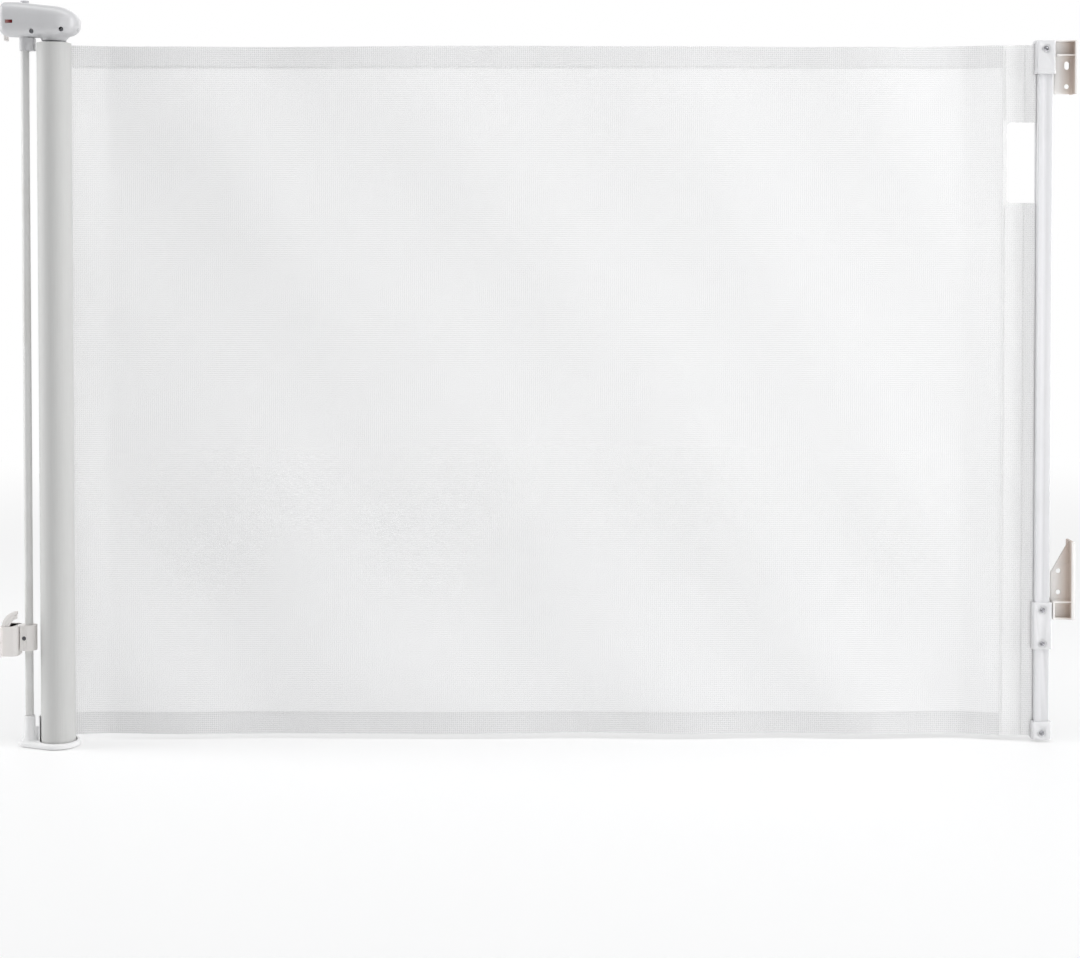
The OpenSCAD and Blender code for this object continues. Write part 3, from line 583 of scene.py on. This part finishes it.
# ---- Screws ----
# Plated steel screws close the head and hold the bar's caps, and a blackened one pinches the rod clamp.
def metal(name, color, roughness):
    """A metal whose fine streaks run along Z, as drawing, turning or plating leaves them."""
    material, shader = principled(name)
    tree = material.node_tree
    link = tree.links.new
    place = tree.nodes.new("ShaderNodeTexCoord")
    stretch = add_node(tree, "ShaderNodeMapping", Scale=(6, 6, 0.4))
    lines = add_node(tree, "ShaderNodeTexNoise", Scale=260.0, Detail=3.0)
    shade = add_node(tree, "ShaderNodeMapRange", **{"To Min": 0.82, "To Max": 1.0})
    dull = add_node(tree, "ShaderNodeMapRange", **{"To Min": roughness - 0.08, "To Max": roughness + 0.1})
    tint = add_node(tree, "ShaderNodeMix", data_type="RGBA", blend_type="MULTIPLY")
    tint.inputs["Factor"].default_value = 1
    tint.inputs["A"].default_value = (*color, 1)
    bump = add_node(tree, "ShaderNodeBump", Strength=0.3, Distance=0.00002)
    link(place.outputs["Object"], stretch.inputs["Vector"])
    link(stretch.outputs["Vector"], lines.inputs["Vector"])
    link(lines.outputs["Fac"], shade.inputs["Value"])
    link(lines.outputs["Fac"], dull.inputs["Value"])
    link(shade.outputs["Result"], tint.inputs["B"])
    link(tint.outputs["Result"], shader.inputs["Base Color"])
    link(dull.outputs["Result"], shader.inputs["Roughness"])
    link(lines.outputs["Fac"], bump.inputs["Height"])
    link(bump.outputs["Normal"], shader.inputs["Normal"])
    shader.inputs["Metallic"].default_value = 1
    return material


plated_steel = metal("plated_steel", (0.36, 0.36, 0.38), 0.22)
blackened_steel = metal("blackened_steel", (0.14, 0.14, 0.15), 0.38)
finished("head_screws", "head_casing_screws", plated_steel, 0.00012)
finished("rod_clamp_screw", "rod_clamp_pinch_screw", blackened_steel, 0.00012)
finished("bar_screws", "bar_cap_screws", plated_steel, 0.00012)


button_grey = plastic("button_grey", (0.55, 0.55, 0.57), (0.5, 0.5, 0.52), 0.3)
# The sign's red turns pinkish towards its left end: a painted highlight on its lit side.
signal_red = plastic("signal_red", (0.34, 0.012, 0.016), (0.20, 0.006, 0.01), 0.3,
                     painted_light=((0.80, 0.42, 0.40), (sign_low.x + 0.007, sign_low.x + 0.001), (-1, -0.9)))
works_acetal = plastic("works_acetal", (0.07, 0.07, 0.075), (0.05, 0.05, 0.055), 0.35)
bush_acetal = plastic("bush_acetal", (0.72, 0.70, 0.60), (0.66, 0.63, 0.52), 0.35)
spring_wire = metal("spring_wire", (0.5, 0.5, 0.52), 0.25)
finished("lock_button", "lock_button_cap", button_grey, 0.0009, 4)
finished("lock_indicator", "lock_sign_plate", signal_red, 0.00015)
finished("pawl", "pawl_lever", works_acetal, 0.0003)
finished("pawl_pin", "pawl_pivot_pin", plated_steel, 0.00025)
return_spring = finished("button_spring", "button_return_spring", spring_wire)
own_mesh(return_spring)


# ---- Guide rod and its holders ----
# A painted steel rod beside the roller, held at the head in a socket and gripped by the rod clamp,
# whose tongue hangs in the lower bracket's cup.
def painted(name, color, worn, roughness):
    """Powder paint on metal: orange-peel ripple and slightly yellowed, rubbed patches."""
    material, shader = principled(name)
    tree = material.node_tree
    link = tree.links.new
    place = tree.nodes.new("ShaderNodeTexCoord")
    peel = add_node(tree, "ShaderNodeTexNoise", Scale=900.0, Detail=1.0)
    patch = add_node(tree, "ShaderNodeTexNoise", Scale=14.0, Detail=5.0)
    share = add_node(tree, "ShaderNodeMapRange", **{"From Min": 0.5, "From Max": 0.8})
    tint = add_node(tree, "ShaderNodeMix", data_type="RGBA")
    tint.inputs["A"].default_value = (*color, 1)
    tint.inputs["B"].default_value = (*worn, 1)
    dull = add_node(tree, "ShaderNodeMapRange", **{"To Min": roughness - 0.06, "To Max": roughness + 0.1})
    bump = add_node(tree, "ShaderNodeBump", Strength=0.25, Distance=0.00003)
    for image in (peel, patch):
        link(place.outputs["Object"], image.inputs["Vector"])
    link(patch.outputs["Fac"], share.inputs["Value"])
    link(share.outputs["Result"], tint.inputs["Factor"])
    link(tint.outputs["Result"], shader.inputs["Base Color"])
    link(patch.outputs["Fac"], dull.inputs["Value"])
    link(dull.outputs["Result"], shader.inputs["Roughness"])
    link(peel.outputs["Fac"], bump.inputs["Height"])
    link(bump.outputs["Normal"], shader.inputs["Normal"])
    return material


rod_paint = painted("rod_paint", (0.66, 0.66, 0.65), (0.59, 0.58, 0.56), 0.3)
finished("guide_rod", "guide_rod_painted", rod_paint, 0.0004)
finished("upper_rod_socket", "upper_rod_socket_moulding", shell_grey, 0.0005)
finished("rod_clamp", "rod_clamp_moulding", bracket_ivory, 0.0007, 3)


# ---- Foot ----
# A low moulded foot that the roller and the rod stand in: a rounded plinth with a dish for the roll,
# a flared socket for the rod and a thin guard between them. A rubber pad lies under it.
foot_low, foot_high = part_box("base_foot")
foot_radius = foot_high.x - roll_x
tail_radius = rod_x - foot_low.x
roll_radius = (roll_high.x - roll_low.x) / 2
plinth_top = foot_low.z + 0.006
dish_floor = foot_low.z + 0.0025
foot_white = plastic("foot_white", (0.67, 0.645, 0.63), (0.61, 0.585, 0.57), 0.38)
pad_rubber = plastic("pad_rubber", (0.16, 0.16, 0.16), (0.12, 0.12, 0.12), 0.7)

foot = round_tool(foot_radius, (roll_x, roll_y, foot_low.z), (roll_x, roll_y, plinth_top), sides=96)
foot.name = "foot_moulding"
join_to(foot, round_tool(tail_radius, (rod_x, roll_y, foot_low.z), (rod_x, roll_y, plinth_top), sides=64))
bpy.ops.object.mode_set(mode="EDIT")
bpy.ops.mesh.select_all(action="SELECT")
bpy.ops.mesh.convex_hull(face_threshold=0.02, shape_threshold=0.02)
bpy.ops.mesh.select_all(action="SELECT")
bpy.ops.mesh.dissolve_limited(angle_limit=math.radians(0.4))
bpy.ops.mesh.select_all(action="DESELECT")
bpy.ops.object.mode_set(mode="OBJECT")
for edge in foot.data.edges:
    edge.select = all(foot.data.vertices[v].co.z > plinth_top - 0.0001 for v in edge.vertices)
bpy.ops.object.mode_set(mode="EDIT")
bpy.ops.mesh.bevel(offset=0.0036, segments=6, affect="EDGES", clamp_overlap=False)
bpy.ops.object.mode_set(mode="OBJECT")

socket_top = foot_high.z
socket_height = socket_top - foot_low.z
socket_profile = [(0.0, 0.0005), (0.0105, 0.0005), (0.0100, 0.0062), (0.0086, 0.0080), (0.0074, 0.0115),
                  (0.0068, 0.016), (0.0066, socket_height - 0.0006), (0.0061, socket_height),
                  (0.0, socket_height)]
rod_socket = turned("rod_socket", socket_profile, rod_x, foot_low.z, 48)
cut(foot, rod_socket, "UNION")

guard_radius = roll_radius + 0.0026
guard_wall = 0.0013
guard_half = 0.009
rib_half = 0.0015
shaft_bore = 0.005
guard = round_tool(guard_radius, (roll_x, roll_y, dish_floor + 0.001), (roll_x, roll_y, socket_top - 0.001),
                   sides=96)
cut(guard, round_tool(guard_radius - guard_wall, (roll_x, roll_y, foot_low.z - past),
                      (roll_x, roll_y, socket_top + past), sides=96))
cut(guard, square_tool((roll_x - 0.030, roll_y - guard_half, foot_low.z - past),
                       (roll_x - 0.015, roll_y + guard_half, socket_top + past)), "INTERSECT")
rib = square_tool((rod_x + 0.004, roll_y - rib_half, dish_floor + 0.001),
                  (roll_x - guard_radius + 0.0004, roll_y + rib_half, plinth_top + 0.016))
cut(guard, rib, "UNION")
cut(foot, guard, "UNION")
cut(foot, round_tool(roll_radius + 0.0012, (roll_x, roll_y, dish_floor),
                     (roll_x, roll_y, plinth_top + 0.0005), sides=96))
cut(foot, round_tool(shaft_bore, (roll_x, roll_y, foot_low.z - past), (roll_x, roll_y, plinth_top)))
cut(foot, round_tool(shaft_bore, (rod_x, roll_y, foot_low.z + 0.0035), (rod_x, roll_y, socket_top + past)))
cut(foot, square_tool((roll_x, mesh_low.y - 0.0008, mesh_low.z - 0.0006),
                      (roll_x + 0.04, mesh_high.y + 0.0012, plinth_top + past)))
ease_edges(foot, 0.00035, 2, 40)
# The cuts leave an empty slot ahead of this one, so the foot shows the plain default white.
foot.data.materials.append(foot_white)
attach(foot, "roller_unit")
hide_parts("base_foot")
finished("foot_pad", "foot_rubber_pad", pad_rubber, 0.0002)


# ---- Roller ----
# An aluminium tube turns on a bush at the top and on a fixed arbor at the bottom. A torsion spring inside
# winds the mesh back, and a ratchet wheel on the upper hub's stem holds it.
tube_metal = metal("tube_aluminium", (0.72, 0.73, 0.74), 0.32)
finished("roller_tube", "roller_tube_drawn", tube_metal, 0.0002)
finished("upper_hub", "upper_hub_moulding", works_acetal, 0.0004)
finished("lower_hub", "lower_hub_moulding", works_acetal, 0.0004)
finished("ratchet_wheel", "ratchet_wheel_moulding", works_acetal, 0.0002)
finished("stem_bush", "stem_bush_ring", bush_acetal, 0.0003)
finished("spring_arbor", "spring_arbor_turned", plated_steel, 0.0003)
finished("torsion_spring", "roller_torsion_spring", spring_wire)


# ---- Mesh cloth ----
# Coated polyester net, in which every second thread is a heavier rib. It leaves the back of the roll, and its
# tension draws long shallow folds towards the corners.
def woven_net():
    """Where the threads of the net are, and how high. Vector is the place on the flat cloth, in metres, and
    Rib is how much more of it a heavy thread covers, and a light one less."""
    group, given, result = effect(
        "woven_net",
        {"Vector": None, "Warp Pitch": 0.00125, "Weft Pitch": 0.00125, "Warp Cover": 0.4,
         "Weft Cover": 0.3, "Rib": 0.20},
        {"Cover": "Float", "Height": "Float", "Slub": "Float"},
    )
    link = group.links.new

    def math_node(operation, first, second=None, third=None):
        node = add_node(group, "ShaderNodeMath", operation=operation)
        for index, value in enumerate((first, second, third)):
            if value is None:
                continue
            if isinstance(value, (int, float)):
                node.inputs[index].default_value = value
            else:
                link(value, node.inputs[index])
        return node.outputs["Value"]

    split = group.nodes.new("ShaderNodeSeparateXYZ")
    link(given.outputs["Vector"], split.inputs["Vector"])
    waver = add_node(group, "ShaderNodeTexNoise", Scale=30.0, Detail=2.0)
    link(given.outputs["Vector"], waver.inputs["Vector"])
    drift = math_node("MULTIPLY", waver.outputs["Fac"], 0.0012)

    def threads(along, pitch, cover):
        """The threads' crest, from 1 in their middle to 0 in the middle of a gap, and the mask they cover."""
        turn = math_node("MULTIPLY", math_node("DIVIDE", math_node("ADD", along, drift), pitch), 2 * math.pi)
        crest = math_node("MULTIPLY_ADD", math_node("COSINE", turn), 0.5, 0.5)
        heavy = math_node("COSINE", math_node("MULTIPLY", turn, 0.5))
        cover = math_node("MULTIPLY_ADD", heavy, given.outputs["Rib"], cover)
        edge = math_node("SUBTRACT", 1.0, cover)
        mask = math_node("MULTIPLY", math_node("SUBTRACT", crest, edge), 4.0)
        return crest, math_node("MINIMUM", math_node("MAXIMUM", math_node("ADD", mask, 0.5), 0.0), 1.0)

    warp, warp_mask = threads(split.outputs["X"], given.outputs["Warp Pitch"], given.outputs["Warp Cover"])
    weft, weft_mask = threads(split.outputs["Y"], given.outputs["Weft Pitch"], given.outputs["Weft Cover"])
    link(math_node("MAXIMUM", warp_mask, weft_mask), result.inputs["Cover"])
    link(math_node("MAXIMUM", warp, math_node("MULTIPLY", weft, 0.8)), result.inputs["Height"])
    slubs = add_node(group, "ShaderNodeTexNoise", Scale=1.0, Detail=3.0)
    stretch = add_node(group, "ShaderNodeMapping", Scale=(900, 22, 1))
    link(given.outputs["Vector"], stretch.inputs["Vector"])
    link(stretch.outputs["Vector"], slubs.inputs["Vector"])
    link(slubs.outputs["Fac"], result.inputs["Slub"])
    return group


net = woven_net()


def cloth(name, thread, shade, warp_cover, weft_cover, gap_alpha, thread_alpha=1.0, depth=0.0002):
    """A net cloth: thread colours, how much its threads cover, and how much a gap and a thread hide."""
    material, shader = principled(name)
    tree = material.node_tree
    link = tree.links.new
    place = add_node(tree, "ShaderNodeUVMap", uv_map="weave")
    weave = add_node(tree, "ShaderNodeGroup", node_tree=net)
    weave.inputs["Warp Cover"].default_value = warp_cover
    weave.inputs["Weft Cover"].default_value = weft_cover
    tint = add_node(tree, "ShaderNodeMix", data_type="RGBA")
    tint.inputs["A"].default_value = (*shade, 1)
    tint.inputs["B"].default_value = (*thread, 1)
    hide = add_node(tree, "ShaderNodeMapRange", **{"To Min": gap_alpha, "To Max": thread_alpha})
    bump = add_node(tree, "ShaderNodeBump", Strength=0.2, Distance=depth)
    link(place.outputs["UV"], weave.inputs["Vector"])
    link(weave.outputs["Slub"], tint.inputs["Factor"])
    link(tint.outputs["Result"], shader.inputs["Base Color"])
    link(weave.outputs["Cover"], hide.inputs["Value"])
    link(hide.outputs["Result"], shader.inputs["Alpha"])
    link(weave.outputs["Height"], bump.inputs["Height"])
    link(bump.outputs["Normal"], shader.inputs["Normal"])
    shader.inputs["Roughness"].default_value = 0.62
    shader.inputs["Sheen Weight"].default_value = 0.15
    return material


mesh_net = cloth("mesh_net", (0.92, 0.92, 0.92), (0.84, 0.84, 0.845), 0.42, 0.34, 0.10, 0.90)
hem_net = cloth("hem_net", (0.90, 0.90, 0.90), (0.83, 0.83, 0.83), 0.42, 0.34, 0.16, 0.80)
strip_net = cloth("strip_net", (0.92, 0.92, 0.92), (0.87, 0.87, 0.87), 0.44, 0.36, 0.16, 0.80)
hem_low, hem_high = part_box("top_hem")
low_hem_low, low_hem_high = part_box("bottom_hem")
strip_low, strip_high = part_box("end_strip")
cloth_thick = mesh_high.y - mesh_low.y
hem_height = hem_high.z - hem_low.z
mesh_length = mesh_high.x - mesh_low.x
mesh_height = mesh_high.z - mesh_low.z


def fold_depth(x, z):
    """How far the stretched cloth stands off its plane, towards +Y, at that place."""
    along = (x - mesh_low.x) / mesh_length
    up = (z - mesh_low.z) / mesh_height
    held = min(1, along / 0.05) * min(1, (1 - along) / 0.04)
    slow = 0.5 + 0.5 * noise.noise(Vector((along * 2.2, up * 1.3, 0.4)))
    ripple = math.sin(9 * math.pi * (along * 0.9 + 0.45 * up) + 3 * slow)
    fan = (1 + ripple) * (0.35 + 0.65 * abs(2 * up - 1))
    fine = 0.5 + 0.5 * noise.noise(Vector((along * 11 + up * 3, up * 2.5, 3.1)))
    edge = (1 + math.sin(2 * math.pi * along * 5.3 + 1.2)) * max(0, abs(2 * up - 1) - 0.75) * 4
    # Slow swells, the fan of folds towards the corners, fine ripples and the hems' own waves.
    return held * (0.0048 * slow + 0.0021 * fan + 0.0018 * fine + 0.0009 * edge)


def edge_sag(x, z):
    """How far the cloth's free top and bottom edges wander up and down."""
    along = (x - mesh_low.x) / mesh_length
    up = 2 * (z - mesh_low.z) / mesh_height - 1
    held = min(1, along / 0.08) * min(1, (1 - along) / 0.08)
    wander = math.sin(along * 9.5 + (0 if up > 0 else 2.1)) + 0.5 * math.sin(along * 23 + 1)
    return -held * math.copysign(max(0, abs(up) - 0.9) * 10, up) * (0.0007 + 0.0006 * wander)


def flat_grid(name, columns, rows):
    """A grid one metre square about the origin, to be shaped into a cloth."""
    bpy.ops.object.select_all(action="DESELECT")
    bpy.ops.mesh.primitive_grid_add(x_subdivisions=columns, y_subdivisions=rows, size=1)
    sheet = bpy.context.object
    sheet.name = name
    return sheet


def mark_weave(piece, place):
    """A UV map named weave that gives each vertex its place on the flat cloth, in metres."""
    weave_map = piece.data.uv_layers.new(name="weave")
    for loop in piece.data.loops:
        weave_map.data[loop.index].uv = place(piece.data.vertices[loop.vertex_index])


def hang_cloth(name, low, high, columns, rows, back, thick, material):
    """A cloth in the gate's plane from low to high that follows the folds, set back by that much."""
    sheet = flat_grid(name, columns, rows)
    for vertex in sheet.data.vertices:
        x = low.x + (vertex.co.x + 0.5) * (high.x - low.x)
        z = low.z + (vertex.co.y + 0.5) * (high.z - low.z)
        vertex.co = (x, mesh_y + fold_depth(x, z) + back, z + edge_sag(x, z))
    mark_weave(sheet, lambda vertex: (vertex.co.x, vertex.co.z))
    thicken(sheet, thick)
    bpy.ops.object.shade_smooth_by_angle(angle=math.radians(50))
    sheet.data.materials.append(material)
    return sheet


def roll_up(piece):
    """Fixes that part of the cloth to the roller unit, with a mesh of its own."""
    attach(piece, "roller_unit")
    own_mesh(piece)


net_thick = 0.0006
band_thick = 0.0007
mesh_sheet = hang_cloth("mesh_cloth", mesh_low, mesh_high, 200, 130, 0, net_thick, mesh_net)
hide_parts("mesh_panel")
hem_back = cloth_thick * 0.85
band_start = mesh_low.x + 0.002
top_band = hang_cloth("top_hem_band", Vector((band_start, 0, hem_low.z)), hem_high, 200, 8, hem_back,
                      band_thick, hem_net)
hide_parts("top_hem")
bottom_band = hang_cloth("bottom_hem_band", Vector((band_start, 0, low_hem_low.z)), low_hem_high, 200, 8,
                         hem_back, band_thick, hem_net)
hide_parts("bottom_hem")


# ---- Stitching ----
# Lockstitch in white polyester thread holds both hems and the end strip.
thread_white = painted("stitch_thread", (0.70, 0.70, 0.70), (0.60, 0.60, 0.60), 0.6)
stitch_pitch = 0.0042
stitch_length = 0.0031
stitch_radius = 0.00035
stitch_taper = 0.35
stitch_dip = 1.2
stitch_inset = 0.0025


def sew(name, start, end, front, back, skip=None):
    """A row of stitches from start to end, seen on both sides of the cloth."""
    run = end - start
    count = int(run.length / stitch_pitch)
    way = run.normalized()
    side = Vector((way.z, 0, -way.x))
    points, faces = [], []
    for index in range(count):
        middle = start + way * stitch_pitch * (index + 0.5)
        if skip and skip(middle):
            continue
        for depth in (front, back):
            lift = -1 if depth == front else 1
            base = len(points)
            for share in (-0.5, -0.3, 0.3, 0.5):
                at_end = abs(share) > 0.4
                wide = stitch_radius * (stitch_taper if at_end else 1)
                drop = -lift * stitch_radius * stitch_dip if at_end else 0
                for turn in range(4):
                    angle = math.pi / 4 + turn * math.pi / 2
                    point = middle + way * stitch_length * share + side * wide * math.cos(angle)
                    point.y = (mesh_y + depth + fold_depth(middle.x, middle.z) + drop
                               + wide * math.sin(angle))
                    point.z += edge_sag(middle.x, middle.z)
                    points.append(point)
            for ring in range(3):
                for turn in range(4):
                    a, b = base + ring * 4 + turn, base + ring * 4 + (turn + 1) % 4
                    faces.append((a, b, b + 4, a + 4))
            faces.append(tuple(base + turn for turn in (3, 2, 1, 0)))
            faces.append(tuple(base + 12 + turn for turn in (0, 1, 2, 3)))
    data = bpy.data.meshes.new(name)
    data.from_pydata(points, [], faces)
    data.validate()
    row = bpy.data.objects.new(name, data)
    scene.collection.objects.link(row)
    flip_outwards(row)
    row.data.materials.append(thread_white)
    return row


for name, z in (("top_hem_stitches", hem_low.z + stitch_inset),
                ("bottom_hem_stitches", low_hem_high.z - stitch_inset)):
    row = sew(name, Vector((hem_low.x + 0.002, 0, z)), Vector((hem_high.x - 0.001, 0, z)),
              -0.0002, hem_back + 0.0004)
    roll_up(row)
for piece in (mesh_sheet, top_band, bottom_band):
    roll_up(piece)


# ---- Wound mesh ----
# The mesh that stays on the roller: one long spiral of cloth, which stands out a little at its two hems.
tube_low, tube_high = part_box("roller_tube")
tube_radius = (tube_high.x - tube_low.x) / 2
turn_pitch = 0.0009
turns = (roll_radius - tube_radius) / turn_pitch
steps_per_turn = 72
roll = flat_grid("wound_mesh_turns", int(turns * steps_per_turn), 30)
spiral_end = math.pi / 2
tube_gap = 0.0001
spiral_length = {}
for vertex in roll.data.vertices:
    share = vertex.co.x + 0.5
    angle = spiral_end + 2 * math.pi * turns * (1 - share)
    radius = tube_radius + tube_gap + (roll_radius - tube_radius - tube_gap) * share
    # The outer end dips a little, under the start of the stretched mesh.
    radius -= 0.0003 * max(0, (share - 0.985) / 0.015)
    z = roll_low.z + (vertex.co.y + 0.5) * (roll_high.z - roll_low.z)
    hem = max(0, 1 - abs((z - roll_high.z + hem_height / 2) / (hem_height / 2)) ** 8)
    hem = max(hem, 1 - abs((z - roll_low.z - hem_height / 2) / (hem_height / 2)) ** 8, 0)
    radius += 0.00008 * noise.noise(Vector((math.cos(angle) * 2, math.sin(angle) * 2, z * 9)))
    radius -= 0.0001 * (1 - hem)
    vertex.co = (roll_x + radius * math.cos(angle), roll_y + radius * math.sin(angle), z)
    spiral_length[vertex.index] = share * turns * 2 * math.pi * (tube_radius + roll_radius) / 2
mark_weave(roll, lambda vertex: (spiral_length[vertex.index], vertex.co.z))
flip_outwards(roll)
thicken(roll, net_thick, -1)
bpy.ops.object.shade_smooth_by_angle(angle=math.radians(50))
# The wound net is a darker grey than the same net hanging: painted shade on the roll's front.
roll_net_shaded = cloth("roll_net_shaded", (0.58, 0.58, 0.57), (0.52, 0.52, 0.51), 0.7, 0.7, 0.93, 1.0, 0.0001)
roll.data.materials.append(roll_net_shaded)
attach(roll, "roller")
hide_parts("wound_mesh")


# ---- End strip ----
# The mesh ends in a doubled strip with the hand hole cut through it, sewn in two rows. Its free edge runs
# into the bar's slot.
hole_low_z, hole_high_z = 0.667, 0.766
hole_width = 0.036
hole_corner = 0.006
hole_left = strip_high.x - hole_width
strip_thick = strip_high.y - strip_low.y
strip = flat_grid("end_strip_cloth", 16, 150)
for vertex in strip.data.vertices:
    x = strip_low.x + (vertex.co.x + 0.5) * (strip_high.x - strip_low.x)
    z = strip_low.z + (vertex.co.y + 0.5) * (strip_high.z - strip_low.z)
    vertex.co = (x, mesh_y, z)
thicken(strip, strip_thick * 0.9)
flip_outwards(strip)
cut(strip, square_tool((hole_left, mesh_y - 0.02, hole_low_z),
                       (strip_high.x + 0.02, mesh_y + 0.02, hole_high_z), hole_corner))
pick(strip)
bpy.ops.object.shade_smooth_by_angle(angle=math.radians(40))
mark_weave(strip, lambda vertex: (vertex.co.x, vertex.co.z))
dress(strip, strip_net)
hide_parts("end_strip")


def at_hole(point):
    """Whether a stitch there would lie in the hand hole or on its rim."""
    return point.x > hole_left - 0.002 and hole_low_z - 0.003 < point.z < hole_high_z + 0.003


seam_rows = []
for name, x in (("strip_seam_stitches", strip_low.x + 0.003),
                ("strip_inner_stitches", strip_low.x + 0.026)):
    row = sew(name, Vector((x, 0, strip_low.z + 0.002)), Vector((x, 0, strip_high.z - 0.002)),
              -strip_thick * 0.45, strip_thick * 0.45, skip=at_hole)
    seam_rows.append(row)
for piece in (strip, *seam_rows):
    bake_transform(piece)
finished("strip_spline", "strip_spline_cord", button_grey, 0.0004)


# ---- End bar and its caps ----
# A painted aluminium extrusion with moulded caps pushed on and screwed. The top cap and the middle connector
# carry the hooks that drop into the right brackets.
bar_paint = painted("bar_paint", (0.72, 0.72, 0.735), (0.67, 0.67, 0.68), 0.3)
cap_white = plastic("cap_white", (0.72, 0.72, 0.73), (0.67, 0.67, 0.68), 0.35)
finished("end_bar", "end_bar_extrusion", bar_paint, 0.0003)
finished("top_cap", "top_cap_moulding", cap_white, 0.0004)
finished("middle_connector", "middle_connector_moulding", cap_white, 0.0004)
finished("bottom_cap", "bottom_cap_moulding", cap_white, 0.0004)
